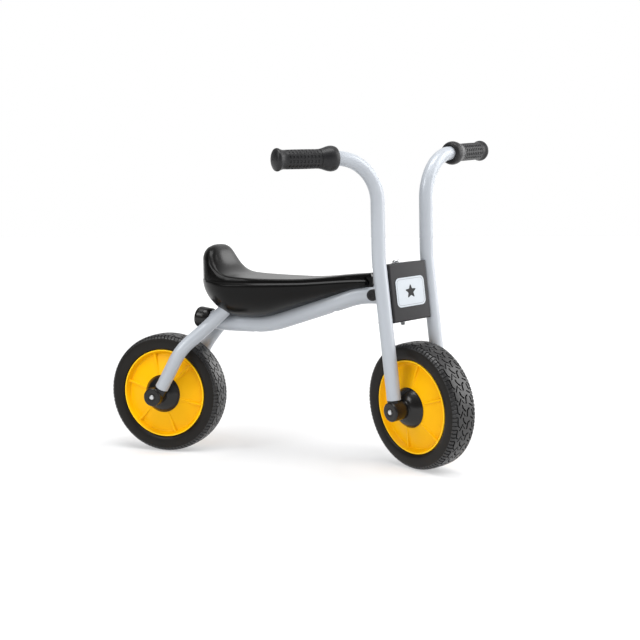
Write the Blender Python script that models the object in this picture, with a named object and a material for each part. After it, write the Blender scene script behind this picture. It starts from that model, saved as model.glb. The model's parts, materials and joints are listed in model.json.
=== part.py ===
"""Toddler balance bike with 8 inch solid tyres, in metres, +X forward, +Y to the rider's left, +Z up.

The origin is the point where the rear tyre touches the floor, in the bike's middle plane.
Four bodies: the frame, the fork with its handlebar, and two wheels. The fork is modelled in its own
frame, with local Z on the steering axis, and is set down turned to the rider's right.
"""
import math

import bmesh
import bpy
from mathutils import Matrix, Vector

# ---------------------------------------------------------------- driving dimensions
TYRE_R = 0.102
WHEELBASE = 0.4539
HEAD_TILT = math.radians(6.2)       # the steering axis leans back by this much
FORK_OFFSET = 0.02005               # wheel centre ahead of the steering axis
STEER_REST = math.radians(-33.2)    # the bars rest turned to the rider's right
STEER_STOP = math.radians(60.0)     # turn from straight ahead to the rubber stop
FRONT_RISE = 0.00104                # lifts the leaning front tyre back onto the floor
FRONT_ROLL = math.radians(1.0)      # turns a flat of the leaning front tyre to the floor

MAIN_TUBE_R = 0.0159
TUBE_R = 0.0111                     # 22.2 mm tube, the size that takes a standard grip
TUBE_WALL = 0.002
FORK_HALF_TRACK = 0.051             # fork and rear fork tubes stand this far from the middle
GAP = 0.0003                        # between pieces that touch
AXLE_R = 0.004                      # M8
BOLT_HEX = 0.0075                   # half the width across corners of an M8 head

WHEEL_SIDES = 28
RIM_SIDES = 24
ROUND_SIDES = 16

# the front axle's height leaves the tyre on the floor once the fork is turned
AXLE_Z = TYRE_R
AXIS_FOOT = Vector((WHEELBASE - FORK_OFFSET * math.cos(HEAD_TILT), 0,
                    AXLE_Z - FORK_OFFSET * math.sin(HEAD_TILT) + FRONT_RISE))

# ---------------------------------------------------------------- materials
PAINT = ("silver_paint", (0.60, 0.63, 0.66), 0.38, 0.0)
BOX_PAINT = ("dark_grey_paint", (0.085, 0.083, 0.088), 0.5, 0.0)
RUBBER = ("tyre_rubber", (0.022, 0.022, 0.022), 0.75, 0.0)
GRIP_RUBBER = ("grip_rubber", (0.03, 0.03, 0.033), 0.7, 0.0)
RIM_PLASTIC = ("yellow_plastic", (0.95, 0.52, 0.02), 0.4, 0.0)
BLACK_PLASTIC = ("black_plastic", (0.02, 0.02, 0.02), 0.35, 0.0)
SEAT_PLASTIC = ("seat_plastic", (0.018, 0.017, 0.017), 0.32, 0.0)
NYLON = ("white_nylon", (0.75, 0.74, 0.7), 0.5, 0.0)
ZINC = ("zinc_steel", (0.7, 0.7, 0.7), 0.3, 1.0)
LABEL = ("label_film", (0.82, 0.87, 0.92), 0.4, 0.0)


def material(finish):
    name, colour, roughness, metallic = finish
    mat = bpy.data.materials.get(name)
    if mat is None:
        mat = bpy.data.materials.new(name)
        mat.use_nodes = True
        shader = mat.node_tree.nodes["Principled BSDF"]
        shader.inputs["Base Color"].default_value = (*colour, 1)
        shader.inputs["Roughness"].default_value = roughness
        shader.inputs["Metallic"].default_value = metallic
        mat.diffuse_color = (*colour, 1)
    return mat


# ---------------------------------------------------------------- tools
def frame_empty(name, matrix, parent=None):
    empty = bpy.data.objects.new(name, None)
    bpy.context.scene.collection.objects.link(empty)
    empty.parent = parent
    empty.matrix_local = matrix
    return empty


def make_object(name, bm, finish, parent=None, matrix=None):
    """Closes a bmesh into a named object with outward faces and smooth round sides."""
    bmesh.ops.recalc_face_normals(bm, faces=bm.faces)
    mesh = bpy.data.meshes.new(name)
    bm.to_mesh(mesh)
    bm.free()
    mesh.materials.append(material(finish))
    mesh.shade_smooth()
    mesh.set_sharp_from_angle(angle=math.radians(35))
    obj = bpy.data.objects.new(name, mesh)
    bpy.context.scene.collection.objects.link(obj)
    obj.parent = parent
    obj.matrix_local = matrix or Matrix()
    return obj


def join_rings(bm, first, second):
    """Faces between two rings; a ring of one vertex is a pole."""
    count = max(len(first), len(second))
    for i in range(count):
        j = i + 1
        corners = [ring[k % len(ring)] for ring, k in ((first, i), (first, j), (second, j), (second, i))]
        bm.faces.new(list(dict.fromkeys(corners)))


def lathe(outline, sides, phase=0.0):
    """A closed outline of (radius, height) points turned about local Z."""
    bm = bmesh.new()
    rings = []
    for radius, height in outline:
        if radius == 0:
            rings.append([bm.verts.new((0, 0, height))])
            continue
        turns = [phase + 2 * math.pi * i / sides for i in range(sides)]
        rings.append([bm.verts.new((radius * math.cos(t), radius * math.sin(t), height)) for t in turns])
    for k, ring in enumerate(rings):
        following = rings[(k + 1) % len(rings)]
        if len(ring) > 1 or len(following) > 1:
            join_rings(bm, ring, following)
    return bm


def cylinder(radius, low, high, sides=ROUND_SIDES, bevel=0.0):
    """A solid round bar along local Z, with optional chamfered ends."""
    if bevel:
        outline = [(0, low), (radius - bevel, low), (radius, low + bevel),
                   (radius, high - bevel), (radius - bevel, high), (0, high)]
    else:
        outline = [(0, low), (radius, low), (radius, high), (0, high)]
    return lathe(outline, sides)


def sleeve(inner, outer, low, high, sides=ROUND_SIDES):
    """A tube along local Z whose bore has its flats, not its corners, at the inner radius."""
    bore = inner / math.cos(math.pi / sides)
    return lathe([(bore, low), (outer, low), (outer, high), (bore, high)], sides)


def block(low, high):
    bm = bmesh.new()
    bmesh.ops.create_cube(bm, size=1)
    low, high = Vector(low), Vector(high)
    for vert in bm.verts:
        vert.co = Vector([(a + b) / 2 + (b - a) * c for a, b, c in zip(low, high, vert.co)])
    return bm


def bent_path(corners, radii, turn_step=math.radians(13)):
    """The centre line of a tube bent at its inner corners, each with a bend radius."""
    points = [Vector(corners[0])]
    for before, corner, after, radius in zip(corners, corners[1:], corners[2:], radii):
        corner = Vector(corner)
        back = (Vector(before) - corner).normalized()
        ahead = (Vector(after) - corner).normalized()
        turn = math.pi - back.angle(ahead)
        centre = corner + (back + ahead).normalized() * (radius / math.cos(turn / 2))
        start = corner + back * (radius * math.tan(turn / 2))
        spoke = start - centre
        axis = back.cross(ahead).normalized()
        steps = max(2, math.ceil(turn / turn_step))
        for i in range(steps + 1):
            points.append(centre + Matrix.Rotation(-turn * i / steps, 3, axis) @ spoke)
    points.append(Vector(corners[-1]))
    return points


def sweep(points, radius, sides, wall=None):
    """A round tube along a path, carried without twist: hollow and open-ended, or solid with no wall."""
    bm = bmesh.new()
    steps = [(b - a).normalized() for a, b in zip(points, points[1:])]
    across = Vector((0, 1, 0))
    radii = [radius] if wall is None else [radius, radius - wall]
    skins = [[] for _ in radii]
    for i, point in enumerate(points):
        back, ahead = steps[max(i - 1, 0)], steps[min(i, len(steps) - 1)]
        tangent = (back + ahead).normalized()
        across = (across - tangent * across.dot(tangent)).normalized()
        other = tangent.cross(across)
        turns = [2 * math.pi * (k + 0.5) / sides for k in range(sides)]
        spokes = [across * math.cos(t) + other * math.sin(t) for t in turns]
        for skin, r in zip(skins, radii):
            skin.append([bm.verts.new(point + spoke * r) for spoke in spokes])
    for skin in skins:
        for a, b in zip(skin, skin[1:]):
            join_rings(bm, a, b)
    for end in (0, -1):
        if wall is None:
            bm.faces.new(skins[0][end])
        else:
            join_rings(bm, skins[0][end], skins[1][end])
    return bm


def combine(target, tool, operation):
    """Adds a Boolean whose tool stays in the file as a wire guide."""
    tool.hide_render = True
    tool.display_type = "WIRE"
    modifier = target.modifiers.new(operation.lower(), "BOOLEAN")
    modifier.operation = operation
    modifier.object = tool
    modifier.solver = "EXACT"
    return modifier


def tool_object(name, bm, parent, matrix=None):
    return make_object("tool_" + name, bm, BLACK_PLASTIC, parent, matrix)


def place(origin, z_axis, x_hint=(1, 0, 0)):
    """A matrix at origin whose Z points along z_axis."""
    z = Vector(z_axis).normalized()
    x = Vector(x_hint)
    x = (x - z * x.dot(z)).normalized()
    y = z.cross(x)
    matrix = Matrix((x, y, z)).transposed().to_4x4()
    matrix.translation = Vector(origin)
    return matrix


SIDES = {"left": 1, "right": -1}

# ---------------------------------------------------------------- frame
# Corners and bend radii of the main tube's centre line, from under the rear cap to the head tube.
MAIN_CORNERS = [(0.0705, 0, 0.2330), (0.108, 0, 0.2275), (0.190, 0, 0.2262), (0.3497, 0, 0.2779)]
MAIN_END = (AXIS_FOOT.x - (0.2779 - AXIS_FOOT.z) * math.tan(HEAD_TILT), 0, 0.2779)
MAIN_BENDS = [0.30, 0.158, 0.118]
CAP_SLEEVE = 0.0145                 # how far the rear cap reaches over the main tube
HEAD_TUBE_R = 0.017


def main_tube_skin(radius, wall=None):
    """The main tube's skin at any radius, for the tube itself and for what is shaped to it."""
    path = bent_path(MAIN_CORNERS + [MAIN_END], MAIN_BENDS, math.radians(8))
    return sweep(path, radius, 14, wall)


def main_tube_centre(x):
    """Height and slope of the main tube's centre line at a place along the bike."""
    path = bent_path(MAIN_CORNERS + [MAIN_END], MAIN_BENDS, math.radians(3))
    for a, b in zip(path, path[1:]):
        if a.x <= x <= b.x:
            return a.z + (b.z - a.z) * (x - a.x) / (b.x - a.x), math.atan2(b.z - a.z, b.x - a.x)
    return path[0].z, 0.0


SEAT_BOLT_X = {"rear": 0.168, "front": 0.300}
SEAT_BOLT_R = 0.003


def seat_bolt_matrix(x):
    height, slope = main_tube_centre(x)
    return place((x, 0, height), (-math.sin(slope), 0, math.cos(slope)))


def build_main_tube(frame):
    tube = make_object("main_tube", main_tube_skin(MAIN_TUBE_R, TUBE_WALL), PAINT, frame)
    # the front end is coped to the head tube
    cope = tool_object("cope", cylinder(HEAD_TUBE_R + GAP, -0.05, 0.05, 24), frame,
                       place(MAIN_END, (-math.sin(HEAD_TILT), 0, math.cos(HEAD_TILT))))
    combine(tube, cope, "DIFFERENCE")
    for end, x in SEAT_BOLT_X.items():
        matrix = seat_bolt_matrix(x)
        bolt_hole = cylinder(SEAT_BOLT_R + GAP, 0.005, MAIN_TUBE_R + 0.006, 10)
        combine(tube, tool_object(end + "_bolt_hole", bolt_hole, frame, matrix), "DIFFERENCE")
        access = cylinder(0.0065, -MAIN_TUBE_R - 0.006, -0.005, 12)
        combine(tube, tool_object(end + "_access_hole", access, frame, matrix), "DIFFERENCE")
        head_top = math.sqrt((MAIN_TUBE_R - TUBE_WALL) ** 2 - 0.0058 ** 2) - 2 * GAP
        tip = MAIN_TUBE_R + 0.012
        bolt = lathe([(0, head_top - 0.004), (0.0055, head_top - 0.004), (0.0055, head_top),
                      (SEAT_BOLT_R, head_top), (SEAT_BOLT_R, tip), (0, tip)], 6)
        make_object("seat_bolt_" + end, bolt, ZINC, frame, matrix)
    start, following = Vector(MAIN_CORNERS[0]), Vector(MAIN_CORNERS[1])
    plug_r = MAIN_TUBE_R - TUBE_WALL - 2 * GAP
    bore = MAIN_TUBE_R + GAP
    cap = lathe([(0, 0.014), (plug_r, 0.014), (plug_r, -GAP), (bore, -GAP), (bore, CAP_SLEEVE),
                 (0.0178, CAP_SLEEVE), (0.0180, -0.0075), (0.0155, -0.0115), (0.0095, -0.0140),
                 (0, -0.0150)], 28)
    make_object("rear_end_cap", cap, BLACK_PLASTIC, frame, place(start, following - start, (0, 1, 0)))


# Rear fork tubes, on the left: up from the axle, in at the second bend, then along the main tube's side.
BESIDE_MAIN = MAIN_TUBE_R + TUBE_R + GAP
REAR_LEAN = math.radians(29.7)
REAR_TUBE_FOOT = 0.0166             # tube end above the axle, along the tube
REAR_FOOT_AHEAD = 0.0040            # the tube's line passes this far ahead of the axle
REAR_CORNERS = [(0.0500, FORK_HALF_TRACK, 0.1830), (0.0870, BESIDE_MAIN, 0.2185),
                (0.1275, BESIDE_MAIN, 0.2547)]
REAR_BENDS = [0.075, 0.06]


def rear_fork_foot(side):
    """Where the rear fork tube's line starts beside the axle, and its direction."""
    corner = Vector(REAR_CORNERS[0])
    origin = Vector((REAR_FOOT_AHEAD, FORK_HALF_TRACK, AXLE_Z))
    direction = (corner - origin).normalized()
    flip = Matrix.Diagonal((1, side, 1))
    return flip @ origin, flip @ direction


def build_rear_fork(frame):
    for side_name, side in SIDES.items():
        origin, direction = rear_fork_foot(side)
        corners = [Vector((x, y * side, z)) for x, y, z in REAR_CORNERS]
        path = bent_path([origin + direction * REAR_TUBE_FOOT] + corners, REAR_BENDS)
        make_object("rear_fork_tube_" + side_name, sweep(path, TUBE_R, 12, TUBE_WALL), PAINT, frame)
        axle = Matrix.Translation((0, 0, AXLE_Z))
        build_axle_fitting("rear", side_name, frame, axle, origin, direction)
    build_axle("rear", frame, Matrix.Translation((0, 0, AXLE_Z)))


# ---------------------------------------------------------------- axles and their end fittings
FITTING_R = 0.0155
FITTING_IN = 0.0402
FITTING_OUT = 0.0648
AXLE_TIP = 0.0659
SPACER_R = 0.006


def along_y(side, centre=Matrix()):
    """Local Z turned to point outwards, to the left or the right, about a centre."""
    return centre @ Matrix.Rotation(-side * math.pi / 2, 4, "X")


def build_axle_fitting(wheel, side_name, parent, axle, foot, direction):
    """A black end fitting: a barrel round the axle with a spigot up into the tube's open end."""
    side = SIDES[side_name]
    edge = 0.0022
    bore = AXLE_R + GAP
    barrel = lathe([(bore, FITTING_IN), (FITTING_R - 0.0008, FITTING_IN), (FITTING_R, FITTING_IN + 0.0008),
                    (FITTING_R, FITTING_OUT - edge), (FITTING_R - edge, FITTING_OUT),
                    (bore, FITTING_OUT)], ROUND_SIDES)
    name = f"{wheel}_axle_fitting_{side_name}"
    fitting = make_object(name, barrel, BLACK_PLASTIC, parent, along_y(side, axle))
    spigot_r = TUBE_R - TUBE_WALL - 2 * GAP
    spigot = lathe([(0, 0.008), (TUBE_R - GAP, 0.008), (TUBE_R - GAP, REAR_TUBE_FOOT - GAP),
                    (spigot_r, REAR_TUBE_FOOT - GAP), (spigot_r, 0.040), (0, 0.040)], 12)
    guide = tool_object(name + "_spigot", spigot, parent, place(foot, direction, (0, 1, 0)))
    combine(fitting, guide, "UNION")


def build_axle(wheel, parent, axle):
    across = axle @ Matrix.Rotation(-math.pi / 2, 4, "X")
    rod = cylinder(AXLE_R, -AXLE_TIP, AXLE_TIP, 12, 0.0008)
    make_object(wheel + "_axle", rod, ZINC, parent, across)
    inner = sleeve(AXLE_R + GAP, SPACER_R, -BEARING_IN + GAP, BEARING_IN - GAP, 12)
    make_object(wheel + "_bearing_spacer", inner, ZINC, parent, across)
    for side_name, side in SIDES.items():
        outer = sleeve(AXLE_R + GAP, SPACER_R, BEARING_IN + BEARING_W + GAP, FITTING_IN - GAP, 12)
        make_object(f"{wheel}_axle_spacer_{side_name}", outer, ZINC, parent, along_y(side, axle))


# ---------------------------------------------------------------- wheels
BEARING_IN = 0.0270                 # inner face of a 608 bearing, from the wheel's middle
BEARING_W = 0.007
BEARING_R = 0.011
RIM_SEAT_R = 0.0712                 # where the tyre sits
LIP_R = 0.0755
LIP_Y = 0.0214
HUB_COVER_R = 0.0324
RIM_SKIN = 0.003
RIB_COUNT = 6
RIB_PHASE = {"front": math.radians(19.7), "rear": math.radians(44.8)}

# tread and sidewall of one half of the tyre, from the middle of the tread to the rim's lip
TYRE_HALF = [(TYRE_R, 0.0090), (TYRE_R - 0.0010, 0.0182), (0.0975, 0.0226), (0.0900, 0.0244),
             (0.0815, 0.0240), (0.0765, 0.0220)]


def tyre_outline():
    """The tyre's closed section: tread, sidewalls, and an inside that follows the rim's two lips."""
    seat = [(LIP_R + 2 * GAP, 0.0192), (RIM_SEAT_R + 2 * GAP, 0.0136)]
    upper = TYRE_HALF + seat
    # the flats, not the corners, of the many-sided tread stand at the tyre's radius
    spread = 1 / math.cos(math.pi / WHEEL_SIDES)
    outline = [(r, -y) for r, y in reversed(upper)] + upper
    return [(r * spread, y) for r, y in outline]


def face_height(radius):
    """Height of the rim's conical face above the wheel's middle plane."""
    return 0.0125 + (0.0684 - radius) * 0.31


def rim_outline():
    """Section of one rim half: hub wall, conical face, lip and tyre seat."""
    hub_bore = BEARING_R + 2 * GAP
    hub_r = 0.0145
    seam = GAP / 2
    cone_in, cone_out = 0.0330, 0.0684
    return [(hub_bore, seam), (hub_bore, BEARING_IN + BEARING_W), (hub_r, BEARING_IN + BEARING_W),
            (hub_r, face_height(cone_in) + 0.0015), (cone_in, face_height(cone_in)),
            (cone_out, face_height(cone_out)), (LIP_R - 0.0022, LIP_Y), (LIP_R, LIP_Y), (LIP_R, 0.0196),
            (RIM_SEAT_R, 0.0140), (RIM_SEAT_R, seam), (RIM_SEAT_R - RIM_SKIN, seam),
            (RIM_SEAT_R - RIM_SKIN, face_height(cone_out) - RIM_SKIN),
            (hub_r, face_height(cone_in) - RIM_SKIN), (hub_r, seam)]


def rim_ribs(phase):
    """Thin radial ribs on the conical face, as one guide for the union."""
    bm = bmesh.new()
    inner_r, outer_r = 0.0345, 0.0702
    for i in range(RIB_COUNT):
        turn = 2 * math.pi * i / RIB_COUNT + phase
        radial = Vector((math.cos(turn), math.sin(turn), 0))
        across = Vector((-math.sin(turn), math.cos(turn), 0))
        ends = []
        for r, proud in ((inner_r, 0.0012), (outer_r, 0.0048)):
            low, high = face_height(r) - 0.0015, face_height(r) + proud
            corners = ((-0.0016, low), (0.0016, low), (0.0010, high), (-0.0010, high))
            ends.append([bm.verts.new(radial * r + across * y + Vector((0, 0, z))) for y, z in corners])
        join_rings(bm, ends[0], ends[1])
        for end in ends:
            bm.faces.new(end)
    return bm


def build_wheel(wheel, centre):
    flat_down = math.pi / 2 - math.pi / WHEEL_SIDES
    tyre = lathe(tyre_outline(), WHEEL_SIDES, flat_down)
    make_object(wheel + "_tyre", tyre, RUBBER, centre, along_y(-1))
    for side_name, side in SIDES.items():
        out = along_y(side)
        half = lathe(rim_outline(), RIM_SIDES)
        rim = make_object(f"{wheel}_rim_{side_name}", half, RIM_PLASTIC, centre, out)
        ribs = tool_object(f"{wheel}_ribs_{side_name}", rim_ribs(-side * RIB_PHASE[wheel]), centre, out)
        combine(rim, ribs, "UNION")
        bearing = sleeve(AXLE_R + 2 * GAP, BEARING_R, BEARING_IN, BEARING_IN + BEARING_W, ROUND_SIDES)
        make_object(f"{wheel}_bearing_{side_name}", bearing, ZINC, centre, out)
        foot = face_height(0.033) + GAP
        cover = lathe([(0.0302, foot), (HUB_COVER_R, foot), (HUB_COVER_R, foot + 0.0012), (0.0280, 0.0315),
                       (0.0215, 0.0365), (0.0160, 0.0394), (0.0072, 0.0394), (0.0072, 0.0372),
                       (0.0152, 0.0372), (0.0262, 0.0305)], ROUND_SIDES)
        make_object(f"{wheel}_hub_cover_{side_name}", cover, BLACK_PLASTIC, centre, out)


# ---------------------------------------------------------------- head
# Heights in the fork's own frame, above the foot of the steering axis.
BOX_LOW, BOX_HIGH = 0.1361, 0.2281
BOX_FRONT, BOX_REAR, BOX_SIDE_REAR = 0.0256, -0.0140, 0.0130
BOX_HALF = FORK_HALF_TRACK - TUBE_R - GAP
SHEET = 0.003
NUT_H = 0.0065
BUSH_FLANGE = 0.0025
HEAD_LOW = BOX_LOW + SHEET + NUT_H + BUSH_FLANGE + 3 * GAP
HEAD_HIGH = BOX_HIGH - SHEET - BUSH_FLANGE - 2 * GAP


def build_head(frame):
    """Head tube and its two bushes, which stay with the frame."""
    straight = Matrix.Translation(AXIS_FOOT) @ Matrix.Rotation(-HEAD_TILT, 4, "Y")
    bore = 0.0142
    make_object("head_tube", sleeve(bore, HEAD_TUBE_R, HEAD_LOW, HEAD_HIGH, 24), PAINT, frame, straight)
    pin = AXLE_R + 2 * GAP
    for name, seat, sign in (("upper", HEAD_HIGH, 1), ("lower", HEAD_LOW, -1)):
        flange_in = seat + sign * GAP
        flange_out = flange_in + sign * BUSH_FLANGE
        plug_r, plug_end = bore - 2 * GAP, seat - sign * 0.018
        outline = [(pin, flange_out), (0.0165, flange_out), (0.0165, flange_in), (plug_r, flange_in),
                   (plug_r, plug_end), (pin, plug_end)]
        make_object("head_bush_" + name, lathe(outline, ROUND_SIDES), NYLON, frame, straight)


STOP_BEHIND = 0.038                 # rubber stops behind the steering axis
STOP_R = 0.0092


def build_stops(frame):
    """Rubber buttons on the main tube's sides that the fork tubes meet at full turn."""
    reach = math.hypot(FORK_TUBE_AHEAD, FORK_HALF_TRACK)
    bearing = math.atan2(FORK_HALF_TRACK, FORK_TUBE_AHEAD) + STEER_STOP
    face = reach * math.sin(bearing) - TUBE_R - 2 * GAP
    centre = Vector(MAIN_END) - Vector((STOP_BEHIND, 0, 0))
    cut = tool_object("stop_saddle", cylinder(MAIN_TUBE_R + GAP, -0.04, 0.04, 24), frame,
                      place(centre, (1, 0, 0), (0, 0, 1)))
    for side_name, side in SIDES.items():
        button = lathe([(0, 0.010), (STOP_R, 0.010), (STOP_R, face - 0.003),
                        (STOP_R - 0.0009, face - 0.0009), (STOP_R - 0.003, face), (0, face)], 14)
        stop = make_object("steering_stop_" + side_name, button, GRIP_RUBBER, frame,
                           along_y(side, Matrix.Translation(centre)))
        combine(stop, cut, "DIFFERENCE")


# ---------------------------------------------------------------- fork and handlebar
FORK_TUBE_AHEAD = 0.01726
FORK_TUBE_FOOT = 0.0168             # tube end above the axle
KINK = 0.2381                       # where the tubes bend forward, above the box
BAR_CORNER = (0.0387, FORK_HALF_TRACK, 0.3919)
BAR_TIP = (0.0021, 0.2186, 0.3994)
KINK_BEND, BAR_BEND = 0.12, 0.069
GRIP_LENGTH = 0.103


def build_fork(fork):
    axle = Matrix.Translation((FORK_OFFSET, 0, 0))
    tip_wall = 0.0045
    for side_name, side in SIDES.items():
        flip = Matrix.Diagonal((1, side, 1))
        foot = flip @ Vector((FORK_TUBE_AHEAD, FORK_HALF_TRACK, 0))
        kink = foot + Vector((0, 0, KINK))
        corner, tip = flip @ Vector(BAR_CORNER), flip @ Vector(BAR_TIP)
        outward = (tip - corner).normalized()
        ends = [foot + Vector((0, 0, FORK_TUBE_FOOT)), kink, corner, tip - outward * tip_wall]
        path = bent_path(ends, [KINK_BEND, BAR_BEND])
        make_object("fork_tube_" + side_name, sweep(path, TUBE_R, 12, TUBE_WALL), PAINT, fork)
        bore = TUBE_R + GAP
        bulb = [(0.0145, 0), (0.0172, 0.0022), (0.0187, 0.0065), (0.0190, 0.0110), (0.0178, 0.0170),
                (0.0155, 0.0235), (0.0142, 0.0290)]
        body = [(0.0140, 0.086), (0.0150, 0.0900), (0.0167, 0.0945), (0.0163, 0.0975), (0.0120, 0.1010),
                (0, GRIP_LENGTH)]
        hollow = [(0, GRIP_LENGTH - tip_wall + GAP), (bore, GRIP_LENGTH - tip_wall + GAP), (bore, 0)]
        grip = lathe(bulb + body + hollow, 14)
        make_object("grip_" + side_name, grip, GRIP_RUBBER, fork,
                    place(tip - outward * GRIP_LENGTH, outward, (0, 0, 1)))
        build_axle_fitting("front", side_name, fork, axle, foot, (0, 0, 1))
    build_axle("front", fork, axle)


def build_head_box(fork):
    """Folded steel box between the fork tubes, open behind, that carries the kingpin."""
    shell = block((BOX_REAR, -BOX_HALF, BOX_LOW), (BOX_FRONT, BOX_HALF, BOX_HIGH))
    front_edges = [e for e in shell.edges if all(v.co.x > 0 for v in e.verts)]
    bmesh.ops.bevel(shell, geom=front_edges, offset=0.0025, segments=2, affect="EDGES")
    box = make_object("head_box", shell, BOX_PAINT, fork)
    behind, in_low, in_high = BOX_REAR - 0.01, BOX_LOW + SHEET, BOX_HIGH - SHEET
    inside = block((behind, -BOX_HALF + SHEET, in_low), (BOX_FRONT - SHEET, BOX_HALF - SHEET, in_high))
    combine(box, tool_object("box_inside", inside, fork), "DIFFERENCE")
    sides = block((behind, -BOX_HALF - 0.01, in_low), (BOX_SIDE_REAR, BOX_HALF + 0.01, in_high))
    combine(box, tool_object("box_sides", sides, fork), "DIFFERENCE")
    hole = cylinder(AXLE_R + 2 * GAP, BOX_LOW - 0.01, BOX_HIGH + 0.01, 12)
    combine(box, tool_object("kingpin_hole", hole, fork), "DIFFERENCE")

    washer_low = BOX_HIGH + GAP
    head_low = washer_low + 0.0010 + GAP
    make_object("kingpin_washer", sleeve(AXLE_R + GAP, 0.008, washer_low, washer_low + 0.0010), ZINC, fork)
    tip = BOX_LOW - 0.0070
    pin = [(0, tip), (AXLE_R - 0.0008, tip), (AXLE_R, tip + 0.0008), (AXLE_R, head_low), (0.0065, head_low),
           (0.0065, head_low + 0.0018), (0.0050, head_low + 0.0034), (0, head_low + 0.0040)]
    make_object("kingpin", lathe(pin, 12), ZINC, fork)
    nut_low = BOX_LOW + SHEET + GAP
    make_object("kingpin_nut", sleeve(AXLE_R + GAP, BOLT_HEX, nut_low, nut_low + NUT_H, 6), ZINC, fork)

    label = block((BOX_FRONT + GAP, -0.0300, 0.1590), (BOX_FRONT + GAP + 0.0006, 0.0300, 0.2050))
    corners = [e for e in label.edges if abs(e.verts[0].co.x - e.verts[1].co.x) > 0.0001]
    bmesh.ops.bevel(label, geom=corners, offset=0.008, segments=4, affect="EDGES")
    make_object("head_label", label, LABEL, fork)


# ---------------------------------------------------------------- seat
SEAT_REAR, SEAT_NOSE = 0.0787, 0.3690
SEAT_MID = 0.150                    # centre of the round rear end
SEAT_HALF = 0.070
NOSE_HALF, NOSE_ROUND = 0.0205, 0.009
SEAT_WAIST_X = 0.255                # where the top is lowest
CANTLE_H = 0.0495                   # raised back above the seat's top
CANTLE_X, CANTLE_DEPTH = 0.093, 0.0245
CRADLE = 0.0070                     # the underside wraps the main tube by this much


def smooth_step(t):
    t = min(1.0, max(0.0, t))
    return t * t * (3 - 2 * t)


def seat_half_width(x):
    """Half width of the outline along its sides, from the widest place to the nose."""
    return NOSE_HALF + (SEAT_HALF - NOSE_HALF) * (1 - smooth_step((x - 0.170) / 0.202)) ** 0.92


def seat_outline():
    """Outline from the nose along the left side to the rear, and back along the right side."""
    left = []
    nose_x, nose_y = SEAT_NOSE - NOSE_ROUND, NOSE_HALF - NOSE_ROUND
    for i in range(3):
        t = math.pi / 4 * i
        left.append((nose_x + NOSE_ROUND * math.cos(t), nose_y + NOSE_ROUND * math.sin(t)))
    side_from, side_to = SEAT_NOSE - NOSE_ROUND, 0.180
    for i in range(1, 8):
        x = side_from + (side_to - side_from) * i / 7
        left.append((x, seat_half_width(x)))
    for i in range(8):
        t = math.pi / 2 * i / 8
        left.append((SEAT_MID - (SEAT_MID - SEAT_REAR) * math.sin(t), SEAT_HALF * math.cos(t)))
    return left + [(SEAT_REAR, 0.0)] + [(x, -y) for x, y in reversed(left)]


def seat_crease(x):
    """Height of the line where the lower bowl meets the top."""
    return 0.2970 + 0.0045 * smooth_step((x - 0.25) / 0.11) + 0.0035 * smooth_step((0.15 - x) / 0.06)


def seat_underside(x):
    height, slope = main_tube_centre(x)
    return height + MAIN_TUBE_R / math.cos(slope) - CRADLE


def cantle(x, y):
    """Height of the raised back above the seat: a bell along the seat, square-shouldered across it."""
    along = 1 / (1 + (max(0.0, x - CANTLE_X) / CANTLE_DEPTH) ** 4.2)
    across = max(0.0, 1 - (abs(y) / 0.0675) ** 5) ** 0.5
    return CANTLE_H * along * across


def seat_top(x, y, inset):
    """Height of the seat's top at a distance in from its outline."""
    dip = (x - SEAT_WAIST_X) / 0.105
    rise = 0.0045 + (0.0050 if dip > 0 else 0.0035) * min(1.0, dip * dip) + cantle(x, y)
    edge = 0.007 + 0.011 * smooth_step(cantle(x, y) / 0.03)
    shoulder = (1 - (1 - min(1.0, inset / edge)) ** 2.6) ** (1 / 2.6)
    return seat_crease(x) + rise * shoulder


def close_across(bm, ring):
    """Closes the last ring of the seat with faces from its left side to its right side."""
    count = len(ring)
    for i in range(count // 2):
        corners = list(dict.fromkeys([ring[i], ring[i + 1], ring[count - 2 - i], ring[count - 1 - i]]))
        if len(corners) > 2:
            bm.faces.new(corners)


def build_seat(frame):
    bm = bmesh.new()
    spine_rear, spine_nose = 0.142, SEAT_NOSE - 0.016

    def bottom(x, y, share, inset):
        depth = seat_crease(x) - seat_underside(max(x, spine_rear - 0.02))
        fullness = 2 - 0.45 * smooth_step((0.150 - x) / 0.05)
        return seat_crease(x) - depth * math.sqrt(1 - share ** fullness)

    def top(x, y, share, inset):
        return seat_top(x, y, inset)

    def ring(share, height):
        verts = []
        for x, y in seat_outline():
            middle = min(spine_nose, max(spine_rear, x))
            px, py = middle + (x - middle) * share, y * share
            inset = math.hypot(x - middle, y) * (1 - share)
            verts.append(bm.verts.new((px, py, height(px, py, share, inset))))
        return verts

    rings = [ring(share, bottom) for share in (0.30, 0.60, 0.82, 0.95, 1.0)]
    rings += [ring(share, top) for share in (0.985, 0.95, 0.88, 0.76, 0.58, 0.35)]
    for a, b in zip(rings, rings[1:]):
        join_rings(bm, a, b)
    close_across(bm, rings[0])
    close_across(bm, rings[-1])
    bmesh.ops.triangulate(bm, faces=bm.faces)
    seat = make_object("seat", bm, SEAT_PLASTIC, frame)
    cradle = main_tube_skin(MAIN_TUBE_R + GAP)
    combine(seat, tool_object("cradle", cradle, frame), "DIFFERENCE")
    for side in SIDES.values():
        low, high = [Vector((x, y * side, z)) for x, y, z in REAR_CORNERS[1:]]
        socket = cylinder(TUBE_R + 2 * GAP, 0.010, (high - low).length + 0.001, 12)
        matrix = place(low, high - low, (0, 1, 0))
        combine(seat, tool_object(f"socket_{side}", socket, frame, matrix), "DIFFERENCE")
    for end, x in SEAT_BOLT_X.items():
        hole = cylinder(SEAT_BOLT_R + GAP, 0.010, MAIN_TUBE_R + 0.013, 8)
        combine(seat, tool_object(end + "_seat_bore", hole, frame, seat_bolt_matrix(x)), "DIFFERENCE")


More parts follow.
